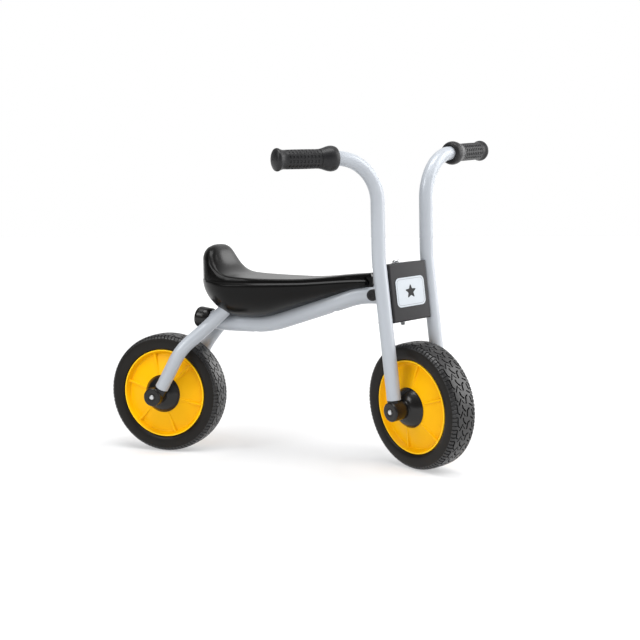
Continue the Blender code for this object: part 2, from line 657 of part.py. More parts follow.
# ---------------------------------------------------------------- assembly
def build_bike():
    for obj in list(bpy.data.objects):
        bpy.data.objects.remove(obj)
    frame = frame_empty("frame_axes", Matrix())
    build_main_tube(frame)
    build_rear_fork(frame)
    build_head(frame)
    build_stops(frame)
    build_seat(frame)
    rear = frame_empty("rear_wheel_axis", Matrix.Translation((0, 0, AXLE_Z)), frame)
    build_wheel("rear", rear)
    turned = Matrix.Rotation(-HEAD_TILT, 4, "Y") @ Matrix.Rotation(STEER_REST, 4, "Z")
    fork = frame_empty("steering_axis", Matrix.Translation(AXIS_FOOT) @ turned, frame)
    build_fork(fork)
    build_head_box(fork)
    spin = Matrix.Translation((FORK_OFFSET, 0, 0)) @ Matrix.Rotation(HEAD_TILT, 4, "Y")
    front = frame_empty("front_wheel_axis", spin @ Matrix.Rotation(FRONT_ROLL, 4, "Y"), fork)
    build_wheel("front", front)


build_bike()
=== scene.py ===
import json
import math

import bmesh
import bpy
from mathutils import Matrix, Vector
from mathutils.geometry import delaunay_2d_cdt


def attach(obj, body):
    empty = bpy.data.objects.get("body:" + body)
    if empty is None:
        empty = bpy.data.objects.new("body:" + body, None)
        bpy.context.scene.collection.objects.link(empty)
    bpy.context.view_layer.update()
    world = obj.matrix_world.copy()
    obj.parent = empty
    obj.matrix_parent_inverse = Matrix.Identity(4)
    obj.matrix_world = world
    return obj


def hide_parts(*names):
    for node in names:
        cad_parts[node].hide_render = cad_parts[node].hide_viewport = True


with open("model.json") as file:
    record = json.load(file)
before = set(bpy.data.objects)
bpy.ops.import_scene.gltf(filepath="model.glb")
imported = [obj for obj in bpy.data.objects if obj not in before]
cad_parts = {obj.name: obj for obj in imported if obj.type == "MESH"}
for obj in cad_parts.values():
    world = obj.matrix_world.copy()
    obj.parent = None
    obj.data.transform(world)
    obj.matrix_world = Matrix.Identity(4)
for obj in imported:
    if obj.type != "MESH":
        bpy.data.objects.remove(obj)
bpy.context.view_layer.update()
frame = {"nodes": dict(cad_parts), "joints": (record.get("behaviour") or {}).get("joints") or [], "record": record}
JOINTS = {joint["name"]: joint for joint in frame["joints"]}

# ---------------------------------------------------------------- frames of the bodies
AXIS_FOOT = Vector(JOINTS["steering"]["pos_m"])
STEER_AXIS = Vector(JOINTS["steering"]["axis"]).normalized()
FRONT_AXLE = Vector(JOINTS["front_wheel_spin"]["axis"]).normalized()
FRONT_CENTRE = Vector(JOINTS["front_wheel_spin"]["pos_m"])
REAR_CENTRE = Vector(JOINTS["rear_wheel_spin"]["pos_m"])
GAP = 0.0003


def axes_matrix(origin, x, y, z):
    matrix = Matrix((x, y, z)).transposed().to_4x4()
    matrix.translation = Vector(origin)
    return matrix


def place(origin, z_axis, x_hint=(1, 0, 0)):
    """A matrix at origin whose Z points along z_axis."""
    z = Vector(z_axis).normalized()
    x = Vector(x_hint)
    x = (x - z * x.dot(z)).normalized()
    return axes_matrix(origin, x, z.cross(x), z)


FORK = axes_matrix(AXIS_FOOT, FRONT_AXLE.cross(STEER_AXIS).normalized(), FRONT_AXLE, STEER_AXIS)
FRAME = Matrix()
UP = Vector((0, 0, 1))
REAR_WHEEL = Matrix.Translation(REAR_CENTRE)
SIDES = {"left": 1, "right": -1}
HEAD_TILT = math.acos(STEER_AXIS.z)
FRONT_ROLL = math.radians(1.0)
FRONT_WHEEL = axes_matrix(FRONT_CENTRE, *[FORK.to_3x3().col[i] for i in range(3)])
FRONT_WHEEL = FRONT_WHEEL @ Matrix.Rotation(HEAD_TILT + FRONT_ROLL, 4, "Y")


# ---------------------------------------------------------------- materials
def add_node(tree, kind, inputs=None, **settings):
    """Adds a shader node; inputs gives its sockets values, or other nodes' outputs to link."""
    node = tree.nodes.new("ShaderNode" + kind)
    for key, value in settings.items():
        setattr(node, key, value)
    for key, value in (inputs or {}).items():
        if isinstance(value, bpy.types.NodeSocket):
            tree.links.new(value, node.inputs[key])
        else:
            node.inputs[key].default_value = value
    return node


def node_material(name, colour, rough, metallic=0.0, coat=0.0, coat_rough=0.1, specular=0.5):
    mat = bpy.data.materials.new(name)
    mat.use_nodes = True
    shader = mat.node_tree.nodes["Principled BSDF"]
    values = {"Base Color": (*colour, 1), "Roughness": rough, "Metallic": metallic, "Coat Weight": coat,
              "Coat Roughness": coat_rough, "Specular IOR Level": specular}
    for key, value in values.items():
        shader.inputs[key].default_value = value
    place_on_object = add_node(mat.node_tree, "TexCoord").outputs["Object"]
    return mat, mat.node_tree, shader, place_on_object


def noise(tree, vector, scale, detail):
    values = {"Vector": vector, "Scale": scale, "Detail": detail, "Roughness": 0.55}
    return add_node(tree, "TexNoise", values).outputs["Fac"]


def ramp(tree, source, low, high):
    """Colours between two stops, each (position, colour)."""
    node = add_node(tree, "ValToRGB", {"Fac": source})
    for element, (position, colour) in zip(node.color_ramp.elements, (low, high)):
        element.position = position
        element.color = (*colour, 1)
    return node.outputs["Color"]


def remap(tree, source, low, high, start=0.0, end=1.0):
    values = {"Value": source, "From Min": start, "From Max": end, "To Min": low, "To Max": high}
    return add_node(tree, "MapRange", values).outputs["Result"]


def combine(tree, first, second, operation="ADD"):
    return add_node(tree, "Math", {0: first, 1: second}, operation=operation).outputs["Value"]


def surface(name, colour, rough, vary=0.1, vary_scale=30.0, grain=900.0, grain_depth=0.00004,
            grain_strength=0.3, rough_vary=0.06, **options):
    """A material with slow colour and roughness variation and a fine grain."""
    mat, tree, shader, vector = node_material(name, colour, rough, **options)
    slow = noise(tree, vector, vary_scale, 5.0)
    dark = [c * (1 - vary) for c in colour]
    light = [min(1.0, c * (1 + vary)) for c in colour]
    fine = {"Strength": grain_strength, "Distance": grain_depth, "Height": noise(tree, vector, grain, 2.0)}
    tree.links.new(ramp(tree, slow, (0.3, dark), (0.7, light)), shader.inputs["Base Color"])
    tree.links.new(remap(tree, slow, rough - rough_vary, rough + rough_vary), shader.inputs["Roughness"])
    tree.links.new(add_node(tree, "Bump", fine).outputs["Normal"], shader.inputs["Normal"])
    return mat


MATS = {
    "silver_paint": surface("silver_paint", (0.392, 0.418, 0.454), 0.34, vary=0.03, vary_scale=14, grain=420,
                            grain_depth=0.00006, grain_strength=0.25, metallic=0.1, coat=0.16, coat_rough=0.14),
    "dark_grey_paint": surface("dark_grey_paint", (0.0185, 0.0177, 0.0196), 0.48, vary=0.06, vary_scale=60,
                               grain=1400, grain_depth=0.00005, grain_strength=0.35, specular=0.32),
    "tyre_rubber": surface("tyre_rubber", (0.0072, 0.0060, 0.0048), 0.42, vary=0.18, vary_scale=45, grain=1600,
                           grain_depth=0.00006, grain_strength=0.4, rough_vary=0.07, specular=0.24),
    "tread_rubber": surface("tread_rubber", (0.0110, 0.0106, 0.0110), 0.36, vary=0.35, vary_scale=150, grain=430,
                            grain_depth=0.00022, grain_strength=0.55, rough_vary=0.09, specular=0.60),
    "grip_rubber": surface("grip_rubber", (0.0072, 0.0072, 0.0082), 0.42, vary=0.15, vary_scale=70, grain=1800,
                           grain_depth=0.00005, grain_strength=0.35, rough_vary=0.06, specular=0.36),
    "yellow_plastic": surface("yellow_plastic", (0.84, 0.425, 0.0010), 0.36, vary=0.03, vary_scale=25, grain=700,
                              grain_depth=0.00004, grain_strength=0.2, rough_vary=0.04, specular=0.12),
    # painted highlight: a lighter copy of the rim's yellow, given to the lip so its edge reads as catching the
    # light
    "yellow_edge": surface("yellow_edge", (0.98, 0.56, 0.006), 0.34, vary=0.02, vary_scale=25, grain=700,
                           grain_depth=0.00003, grain_strength=0.15, rough_vary=0.03, specular=0.2),
    "black_plastic": surface("black_plastic", (0.007, 0.0066, 0.0066), 0.24, vary=0.2, vary_scale=60, grain=900,
                             grain_depth=0.00003, grain_strength=0.25, rough_vary=0.04, specular=0.38),
    "seat_plastic": surface("seat_plastic", (0.0030, 0.0029, 0.0028), 0.25, vary=0.2, vary_scale=25, grain=1100,
                            grain_depth=0.00005, grain_strength=0.3, rough_vary=0.04, specular=0.16),
    "white_nylon": surface("white_nylon", (0.74, 0.73, 0.69), 0.5, vary=0.03),
    "label_film": surface("label_film", (0.41, 0.445, 0.485), 0.32, vary=0.02, vary_scale=200, grain=1500,
                          coat=0.4, coat_rough=0.12),
    "label_grey": surface("label_grey", (0.16, 0.165, 0.19), 0.4, vary=0.05, vary_scale=200),
    "label_dark": surface("label_dark", (0.008, 0.0075, 0.009), 0.4, vary=0.05, vary_scale=200, specular=0.25),
    "zinc_steel": surface("zinc_steel", (0.66, 0.67, 0.68), 0.30, vary=0.10, vary_scale=260, grain=2200,
                          metallic=1.0, rough_vary=0.08),
}

for node in frame["nodes"].values():
    slot_name = next(s["material_slot"] for s in frame["record"]["subparts"] if s["node"] == node.name)
    node.data.materials.clear()
    node.data.materials.append(MATS[slot_name])


# ---------------------------------------------------------------- tools
def add_object(name, bm):
    """Links a new object made from a bmesh, and frees the bmesh."""
    mesh = bpy.data.meshes.new(name)
    bm.to_mesh(mesh)
    bm.free()
    added = bpy.data.objects.new(name, mesh)
    bpy.context.scene.collection.objects.link(added)
    return added


def clean_object(name, bm, matrix):
    """A closed bmesh in its own frame becomes an object in the row frame."""
    bmesh.ops.remove_doubles(bm, verts=bm.verts, dist=1e-6)
    bm.transform(matrix)
    bmesh.ops.recalc_face_normals(bm, faces=bm.faces)
    return add_object(name, bm)


def shade(piece, angle):
    """Smooth shading, with edges sharper than an angle in degrees left sharp."""
    piece.data.shade_smooth()
    piece.data.set_sharp_from_angle(angle=math.radians(angle))


def finish_piece(name, bm, slot_name, body, nodes=(), matrix=FRAME, angle=32, material=None):
    """A bmesh in its own frame becomes a named piece in the row frame, riding on its body."""
    piece = clean_object(name, bm, matrix)
    piece.data.materials.append(MATS[material or slot_name])
    shade(piece, angle)
    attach(piece, body)
    if nodes:
        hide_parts(*nodes)
    return piece


def tool_object(bm, matrix=FRAME):
    return clean_object("tool", bm, matrix)


def apply_modifier(piece, kind, **settings):
    """Puts a modifier's result into the piece's own mesh."""
    modifier = piece.modifiers.new("shape", kind)
    for key, value in settings.items():
        setattr(modifier, key, value)
    bpy.context.view_layer.update()
    mesh = bpy.data.meshes.new_from_object(piece.evaluated_get(bpy.context.evaluated_depsgraph_get()))
    piece.modifiers.clear()
    piece.data = mesh


def apply_boolean(piece, tool, operation="DIFFERENCE"):
    """Applies an exact Boolean with another object, and removes that object."""
    apply_modifier(piece, "BOOLEAN", operation=operation, object=tool, solver="EXACT")
    bpy.data.objects.remove(tool)


def circle_turns(count):
    return [2 * math.pi * i / count for i in range(count)]


def join_rings(bm, first, second):
    """Faces between two rings of vertices; a ring of one vertex is a point."""
    count = max(len(first), len(second))
    for i in range(count):
        marks = ((first, i), (first, i + 1), (second, i + 1), (second, i))
        corners = list(dict.fromkeys(ring[k % len(ring)] for ring, k in marks))
        if len(corners) > 2:
            bm.faces.new(corners)


def lathe(outline, sides):
    """A closed outline of (radius, height) points turned about local Z."""
    bm = bmesh.new()
    rings = []
    for radius, height in outline:
        if radius < 1e-7:
            rings.append([bm.verts.new((0, 0, height))])
            continue
        turns = circle_turns(sides)
        rings.append([bm.verts.new((radius * math.cos(t), radius * math.sin(t), height)) for t in turns])
    for k, ring in enumerate(rings):
        following = rings[(k + 1) % len(rings)]
        if len(ring) > 1 or len(following) > 1:
            join_rings(bm, ring, following)
    return bm


def rectangle(inner, outer, low, high):
    """An outline for lathe: a ring's section, or half a rod's section if inner is 0."""
    return [(inner, low), (outer, low), (outer, high), (inner, high)]


def rod(radius, low, high, sides=32):
    return lathe(rectangle(0, radius, low, high), sides)


def rounded(outline, radii, steps=4, closed=True):
    """Rounds the corners of an outline of 2-D points; radii is one number or {index: radius}."""
    points = [Vector(p) for p in outline]
    count = len(points)
    out = []
    for i, corner in enumerate(points):
        radius = radii.get(i, 0) if isinstance(radii, dict) else radii
        if not closed and i in (0, count - 1) or radius <= 0:
            out.append(tuple(corner))
            continue
        back, ahead = points[i - 1] - corner, points[(i + 1) % count] - corner
        half = back.angle(ahead, math.pi) / 2
        if half > math.radians(88):
            out.append(tuple(corner))
            continue
        cut = min(radius / math.tan(half), back.length * 0.45, ahead.length * 0.45)
        a, b = corner + back.normalized() * cut, corner + ahead.normalized() * cut
        for k in range(steps + 1):
            t = k / steps
            out.append(tuple(a * (1 - t) ** 2 + corner * 2 * t * (1 - t) + b * t * t))
    return out


def smooth_curve(points, steps):
    """A Catmull-Rom curve through 2-D points."""
    pts = [Vector(p) for p in points]
    ends = [pts[0] * 2 - pts[1]] + pts + [pts[-1] * 2 - pts[-2]]
    out = []
    for i in range(1, len(ends) - 2):
        p0, p1, p2, p3 = ends[i - 1:i + 3]
        for k in range(steps):
            t = k / steps
            out.append(tuple(0.5 * ((2 * p1) + (p2 - p0) * t + (2 * p0 - 5 * p1 + 4 * p2 - p3) * t * t
                                    + (3 * p1 - p0 - 3 * p2 + p3) * t ** 3)))
    return out + [tuple(pts[-1])]


def bent_path(corners, radii, turn_step=math.radians(2.5)):
    """The centre line of a tube bent at its inner corners, each with a bend radius."""
    points = [Vector(corners[0])]
    for before, corner, after, radius in zip(corners, corners[1:], corners[2:], radii):
        corner = Vector(corner)
        back = (Vector(before) - corner).normalized()
        ahead = (Vector(after) - corner).normalized()
        turn = math.pi - back.angle(ahead)
        centre = corner + (back + ahead).normalized() * (radius / math.cos(turn / 2))
        start = corner + back * (radius * math.tan(turn / 2))
        spoke = start - centre
        axis = back.cross(ahead).normalized()
        steps = max(2, math.ceil(turn / turn_step))
        for i in range(steps + 1):
            points.append(centre + Matrix.Rotation(-turn * i / steps, 3, axis) @ spoke)
    points.append(Vector(corners[-1]))
    return points


def tube(points, radius, sides=48, wall=0.002, lip=0.0005, mouth=0.008):
    """A painted tube along a path: chamfered ends, open mouths a little way in, closed deep inside."""
    bm = bmesh.new()
    steps = [(b - a).normalized() for a, b in zip(points, points[1:])]
    start, end = points[0], points[-1]
    rows = [(start + steps[0] * mouth, radius - wall, steps[0]), (start, radius - wall, steps[0]),
            (start, radius - lip, steps[0]), (start + steps[0] * lip, radius, steps[0])]
    for i in range(1, len(points) - 1):
        rows.append((points[i], radius, (steps[i - 1] + steps[i]).normalized()))
    rows += [(end - steps[-1] * lip, radius, steps[-1]), (end, radius - lip, steps[-1]),
             (end, radius - wall, steps[-1]), (end - steps[-1] * mouth, radius - wall, steps[-1])]
    across = Vector((0, 1, 0))
    rings = []
    for point, r, tangent in rows:
        across = (across - tangent * across.dot(tangent)).normalized()
        other = tangent.cross(across)
        turns = circle_turns(sides)
        rings.append([bm.verts.new(point + (across * math.cos(t) + other * math.sin(t)) * r) for t in turns])
    for a, b in zip(rings, rings[1:]):
        join_rings(bm, a, b)
    bm.faces.new(rings[0])
    bm.faces.new(rings[-1])
    return bm


def along_y(side, centre=FRAME):
    """Local Z turned to point outwards, to the left or the right, about a centre."""
    return centre @ Matrix.Rotation(-side * math.pi / 2, 4, "X")


# ---------------------------------------------------------------- tyres
TREAD_CELLS = 32
CELL = 20.0                         # one repeat of the tread, in millimetres along the crown
TREAD_EDGE = 26.5                   # where the patterned zone ends, in millimetres along the section
EDGE_STEPS = 5
TREAD_FROM = 0.0954                 # radius where the sidewall gives way to the patterned zone
CHAMFER = 0.3                       # of a sipe's edges, in millimetres
WALL_STEP = 1.5                     # between the rings of the sidewall, in millimetres
TYRE_BORE, TYRE_SEAT = 0.0717, 0.0140   # radius and half width of the hole that the rim halves fill
# half section of the tyre, from the crown to the rim, as (radius, distance from the middle plane)
HALF_SECTION = [(0.1020, 0.0), (0.1019, 0.0080), (0.1012, 0.0160), (0.0998, 0.0203), (0.0976, 0.0228),
                (0.0940, 0.0240), (0.0900, 0.0245), (0.0850, 0.0244), (0.0812, 0.0238), (0.0786, 0.0228),
                (0.0771, 0.0217), (0.0763, 0.0205), (0.0761, 0.0192)]
# sipes of one tread cell: (width, depth, points as (across, along)), in millimetres
SIPES = [
    (1.8, 2.6, [(-17.2, 0.6), (-17.2, -6.6), (-16.7, -11.4), (-14.0, -14.4)]),
    (1.9, 2.4, [(-12.8, 0.2), (-10.6, 4.2), (-7.6, 9.0)]),
    (2.2, 2.8, [(-6.8, -1.2), (-6.1, -5.4), (-4.0, -8.4), (-1.3, -11.0)]),
    (1.3, 2.0, [(-5.8, 6.0), (-4.6, 3.8), (-2.8, 1.6)]),
    (2.3, 2.8, [(6.4, -7.8), (3.2, -9.6), (2.0, -14.4), (1.6, -19.4), (-0.6, -22.2)]),
    (2.0, 2.6, [(8.2, -1.0), (11.0, -3.0), (14.0, -5.2)]),
    (1.9, 2.4, [(11.4, -10.6), (12.4, -13.0), (12.8, -17.0), (14.4, -19.2)]),
    (1.8, 2.6, [(17.2, -2.6), (17.1, 4.6), (16.7, 9.2), (14.4, 11.4)]),
]
NOTCHES = 3                         # short shoulder notches to one tread cell
for n in range(NOTCHES):
    for side in (-1, 1):
        start = (n + (0.15 if side < 0 else 0.6)) * CELL / NOTCHES
        SIPES.append((1.9, 1.6, [(side * 25.2, start), (side * 22.0, start + 0.2), (side * 18.8, start + 0.6)]))


def round_cap(point, direction, half):
    normal = Vector((-direction.y, direction.x))
    turns = [math.pi * k / 4 for k in (1, 2, 3)]
    return [point + normal * (half * math.cos(a)) + direction * (half * math.sin(a)) for a in turns]


def thick_line(points, width):
    """The outline of a smooth line of some width with round ends."""
    line = [Vector(p) for p in smooth_curve(points, 4)]
    half = width / 2
    left, right = [], []
    for i, p in enumerate(line):
        d = (line[min(i + 1, len(line) - 1)] - line[max(i - 1, 0)]).normalized()
        normal = Vector((-d.y, d.x))
        left.append(p + normal * half)
        right.append(p - normal * half)
    end = round_cap(line[-1], (line[-1] - line[-2]).normalized(), half)
    begin = round_cap(line[0], (line[0] - line[1]).normalized(), half)
    return left + end + right[::-1] + begin


def inside_distance(point, polygon):
    """Distance from a point inside a polygon to its edge, or a negative number outside it."""
    x, y = point
    inside, nearest = False, 1e9
    for a, b in zip(polygon, polygon[1:] + polygon[:1]):
        if (a.y > y) != (b.y > y) and x < (b.x - a.x) * (y - a.y) / (b.y - a.y) + a.x:
            inside = not inside
        edge = b - a
        t = max(0.0, min(1.0, ((x - a.x) * edge.x + (y - a.y) * edge.y) / max(edge.length_squared, 1e-12)))
        nearest = min(nearest, math.hypot(x - a.x - edge.x * t, y - a.y - edge.y * t))
    return nearest if inside else -nearest


def tread_shapes():
    """The sipes that reach into one cell: the chamfer's edge, the wall's edge and the depth of each."""
    shapes = []
    for width, depth, points in SIPES:
        for shift in (-CELL, 0, CELL):
            moved = [(x, y + shift) for x, y in points]
            if max(y for _, y in moved) < -2 or min(y for _, y in moved) > CELL + 2:
                continue
            shapes.append((thick_line(moved, width + 2 * CHAMFER), thick_line(moved, width), depth))
    return shapes


def cell_layout(shapes):
    """What one cell is meshed from: its border, the outlines of its sipes and a grid between them."""
    columns = [-TREAD_EDGE + 2 * TREAD_EDGE * i / 16 for i in range(17)]
    rows = [CELL * i / EDGE_STEPS for i in range(EDGE_STEPS + 1)]
    border = ([(c, 0.0) for c in columns] + [(TREAD_EDGE, r) for r in rows[1:]]
              + [(c, CELL) for c in reversed(columns[:-1])] + [(-TREAD_EDGE, r) for r in reversed(rows[1:-1])])
    verts, edges = [], []
    for loop in [border] + [outline for shape in shapes for outline in shape[:2]]:
        first = len(verts)
        verts.extend(Vector(p) for p in loop)
        edges.extend((first + i, first + (i + 1) % len(loop)) for i in range(len(loop)))
    for c in columns[1:-1]:
        for r in rows[1:-1]:
            if all(inside_distance((c, r), outer) < -0.7 for outer, _, _ in shapes):
                verts.append(Vector((c, r)))
    return verts, edges


def tread_cell():
    """One repeat of the tread: points (across, along, depth) and faces."""
    shapes = tread_shapes()
    verts, edges = cell_layout(shapes)
    flat, _, cells = delaunay_2d_cdt(verts, edges, [], 0, 1e-4)[:3]
    points, floors = [], []
    for p in flat:
        depths = [depth for outer, _, depth in shapes if inside_distance(p, outer) > 0.1]
        points.append((p.x, p.y, CHAMFER if depths else 0.0))
        floors.append(depths[-1] if depths else 0.0)
    faces, floor_faces, floor_of, uses = [], [], {}, {}
    for face in cells:
        x, y = (sum(flat[i][axis] for i in face) / len(face) for axis in (0, 1))
        if 0 < y < CELL and abs(x) < TREAD_EDGE:
            sunk = any(inside_distance((x, y), inner) > 0 for _, inner, _ in shapes)
            (floor_faces if sunk else faces).append(face)
    for face in floor_faces:
        for i in face:
            if i not in floor_of:
                floor_of[i] = len(points)
                points.append((flat[i].x, flat[i].y, floors[i]))
        faces.append([floor_of[i] for i in face])
        for a, b in zip(face, list(face[1:]) + [face[0]]):
            uses.setdefault(frozenset((a, b)), []).append((a, b))
    for pair in uses.values():
        a, b = pair[0]
        on_border = all(min(abs(flat[i].y), abs(flat[i].y - CELL)) < 1e-3 for i in (a, b))
        if len(pair) == 1 and not on_border:
            faces.append([a, b, floor_of[b], floor_of[a]])
    return points, faces


def section_table():
    """The half section as a dense table of (arc length in millimetres, radius, distance)."""
    curve = smooth_curve(HALF_SECTION, 12)
    table, length = [], 0.0
    for i, (r, y) in enumerate(curve):
        if i:
            length += 1000 * math.hypot(r - curve[i - 1][0], y - curve[i - 1][1])
        table.append((length, r, y))
    return table


TABLE = section_table()


def section_point(v, depth):
    """A point (radius, distance from the middle plane) at arc length v, sunk by a depth in millimetres."""
    s = min(abs(v), TABLE[-1][0])
    k = next((i for i in range(1, len(TABLE)) if TABLE[i][0] >= s), len(TABLE) - 1)
    (s0, r0, y0), (s1, r1, y1) = TABLE[k - 1], TABLE[k]
    t = (s - s0) / (s1 - s0)
    along = Vector((r1 - r0, y1 - y0)).normalized()
    r, y = r0 + (r1 - r0) * t - along.y * depth / 1000, y0 + (y1 - y0) * t + along.x * depth / 1000
    return r, y if v >= 0 else -y


def mark_outer_faces(piece, wheel_matrix, radius, name):
    """Gives the faces beyond a radius from the wheel's axis another material."""
    piece.data.materials.append(MATS[name])
    to_wheel = wheel_matrix.inverted()
    for face in piece.data.polygons:
        centre = to_wheel @ face.center
        face.material_index = int(math.hypot(centre.x, centre.z) > radius)


def build_tyre(wheel, matrix, body):
    """The tread cells in a circle, joined by the sidewalls and the hole for the rim."""
    points, faces = tread_cell()
    placed = [(*section_point(v, depth), 2 * math.pi * u / CELL / TREAD_CELLS) for v, u, depth in points]
    coords, polygons = [], []
    for turn in circle_turns(TREAD_CELLS):
        first = len(coords)
        coords.extend((r * math.cos(a + turn), y, r * math.sin(a + turn)) for r, y, a in placed)
        polygons.extend([first + i for i in face] for face in faces)
    mesh = bpy.data.meshes.new("tread")
    mesh.from_pydata(coords, [], polygons)
    bm = bmesh.new()
    bm.from_mesh(mesh)
    bpy.data.meshes.remove(mesh)
    wall = [TREAD_EDGE]
    while wall[-1] < TABLE[-1][0] - WALL_STEP:
        wall.append(wall[-1] + WALL_STEP)
    wall.append(TABLE[-1][0])
    inner_edges = []
    for sign in (1, -1):
        rings = []
        for r, y in [section_point(sign * v, 0) for v in wall] + [(TYRE_BORE, sign * TYRE_SEAT)]:
            turns = circle_turns(TREAD_CELLS * EDGE_STEPS)
            rings.append([bm.verts.new((r * math.cos(t), y, r * math.sin(t))) for t in turns])
        for a, b in zip(rings, rings[1:]):
            join_rings(bm, a, b)
        inner_edges.append(rings[-1])
    join_rings(bm, *inner_edges)
    tyre = finish_piece(f"{wheel}_tyre_treaded", bm, "tyre_rubber", body, [wheel + "_tyre"], matrix, 28)
    mark_outer_faces(tyre, matrix, TREAD_FROM, "tread_rubber")


# ---------------------------------------------------------------- rims, hub covers, bearings
RIB_PHASE = {"front": math.radians(19.7), "rear": math.radians(44.8)}
RIB_COUNT, RIB_FILL = 6, 12         # ribs round a rim, points between two of them
RIB_IN, RIB_RUN = 0.0345, 0.0357    # radius of a rib's inner end, and its length
RIB_RISE, RIB_END = 0.0008, 0.0174  # how far its inner end stands proud, and the height of its outer end
# a rib's cross-section: share of its height by the distance from its middle line
RIB_SHAPE = {0: 1.0, 0.0011: 1.0, 0.0016: 0.93, 0.0019: 0.72, 0.0022: 0.24, 0.0027: 0.06, 0.0036: 0.0,
             0.0052: 0.0}
CONE_IN, CONE_OUT = 0.0330, 0.0684  # the moulded face runs between these radii
CONE_FOOT, CONE_SLOPE = 0.0125, 0.31
LIP_IN, LIP_R, LIP_Y, LIP_SLOPE = 0.0729, 0.0755, 0.0216, 1.85
BEARING_IN, BEARING_W, BEARING_R = 0.0270, 0.007, 0.011
RIM_BORE, RIM_TUBE = 0.0116, 0.0145


def face_height(radius):
    """Height of the moulded face above the wheel's middle plane."""
    return CONE_FOOT + (CONE_OUT - radius) * CONE_SLOPE


def rim_height(radius):
    """Height of the moulded face and of the lip's inner wall, with a fillet where they meet."""
    cone = face_height(radius)
    wall = CONE_FOOT + (radius - CONE_OUT) * LIP_SLOPE
    fillet = 0.0016
    if radius < CONE_OUT - 0.004:
        return cone
    return (cone + wall + math.sqrt((cone - wall) ** 2 + fillet ** 2)) / 2


def rib_height(radius):
    inner_end = face_height(RIB_IN) + RIB_RISE
    return inner_end + (radius - RIB_IN) * (RIB_END - inner_end) / RIB_RUN


def rib_marks(radius):
    """Where the points of a ring go: (turn, share of the ribs' height)."""
    reach = min(max(radius, CONE_IN), 0.072)
    offsets = list(RIB_SHAPE)
    marks = [(math.asin(d / reach), RIB_SHAPE[abs(d)]) for d in [-d for d in reversed(offsets[1:])] + offsets]
    edge = marks[-1][0]
    gap = 2 * math.pi / RIB_COUNT - 2 * edge
    marks += [(edge + gap * (i + 1) / (RIB_FILL + 1), 0.0) for i in range(RIB_FILL)]
    return [(base + turn, share) for base in circle_turns(RIB_COUNT) for turn, share in marks]


def build_rim(wheel, side_name, matrix, body):
    """One half of a rim: hub, conical face with ribs, lip and the ring inside the tyre."""
    side = SIDES[side_name]
    phase = -side * RIB_PHASE[wheel]
    bm = bmesh.new()

    def ring(radius, height, with_ribs=False):
        rise = max(0.0, rib_height(radius) - height) if with_ribs else 0.0
        marks = [(phase + turn, height + rise * share) for turn, share in rib_marks(radius)]
        return [bm.verts.new((radius * math.cos(a), radius * math.sin(a), z)) for a, z in marks]

    core = [(RIM_BORE, GAP / 2), (RIM_BORE, 0.0340), (RIM_TUBE, 0.0340), (RIM_TUBE, 0.0262), (0.0300, 0.0242)]
    rings = [ring(r, z) for r, z in core]
    radius = CONE_IN
    while radius < LIP_IN:
        rings.append(ring(radius, rim_height(radius), True))
        radius += 0.0022 if radius < 0.064 else 0.0006
    lip = rounded([(LIP_IN, 0.0206), (LIP_IN + 0.0004, LIP_Y), (LIP_R, LIP_Y), (LIP_R, 0.0196)],
                  {1: 0.0007, 2: 0.0009}, 4, closed=False)
    inside = [(0.0712, 0.0140), (0.0712, GAP / 2), (0.0682, GAP / 2), (0.0682, 0.0093),
              (RIM_TUBE, 0.0200), (RIM_TUBE, GAP / 2)]
    rings += [ring(r, z) for r, z in lip + inside]
    for i, first in enumerate(rings):
        join_rings(bm, first, rings[(i + 1) % len(rings)])
    rim = finish_piece(f"{wheel}_rim_ribbed_{side_name}", bm, "yellow_plastic", body,
                       [f"{wheel}_rim_{side_name}"], along_y(side, matrix), 40)
    # the lip's faces get the lighter yellow, a painted highlight
    mark_outer_faces(rim, matrix, LIP_IN + 0.0003, "yellow_edge")


def build_hub(wheel, side_name, matrix, body):
    """The domed cover in the middle of a rim half, open where the axle spacer passes."""
    out = along_y(SIDES[side_name], matrix)
    foot = face_height(CONE_IN) + GAP
    dome = smooth_curve([(0.0316, foot + 0.0020), (0.0300, foot + 0.0045), (0.0272, 0.0318), (0.0240, 0.0348),
                         (0.0205, 0.0371), (0.0166, 0.0386)], 6)
    profile = ([(0.0302, foot), (0.0321, foot), (0.0324, foot + 0.0003), (0.0324, foot + 0.0012)] + dome
               + [(0.0160, 0.0391), (0.0156, 0.0394), (0.0078, 0.0394), (0.0072, 0.0391), (0.0072, 0.0372),
                  (0.0152, 0.0372), (0.0262, 0.0300)])
    finish_piece(f"{wheel}_hub_dome_{side_name}", lathe(profile, 96), "black_plastic", body,
                 [f"{wheel}_hub_cover_{side_name}"], out, 40)


for wheel, matrix in (("rear", REAR_WHEEL), ("front", FRONT_WHEEL)):
    build_tyre(wheel, matrix, wheel + "_wheel")
    for side_name in SIDES:
        build_rim(wheel, side_name, matrix, wheel + "_wheel")
        build_hub(wheel, side_name, matrix, wheel + "_wheel")

# ---------------------------------------------------------------- axles and their end fittings
AXLE_R = 0.004
FITTING_R, FITTING_IN, FITTING_OUT, AXLE_TIP = 0.0155, 0.0402, 0.0648, 0.0659
TUBE_R, TUBE_WALL = 0.0111, 0.002
SPACER_R = 0.006
REAR_TUBE_FOOT, FORK_TUBE_FOOT = 0.0166, 0.0168     # from an axle to the end of the tube above it


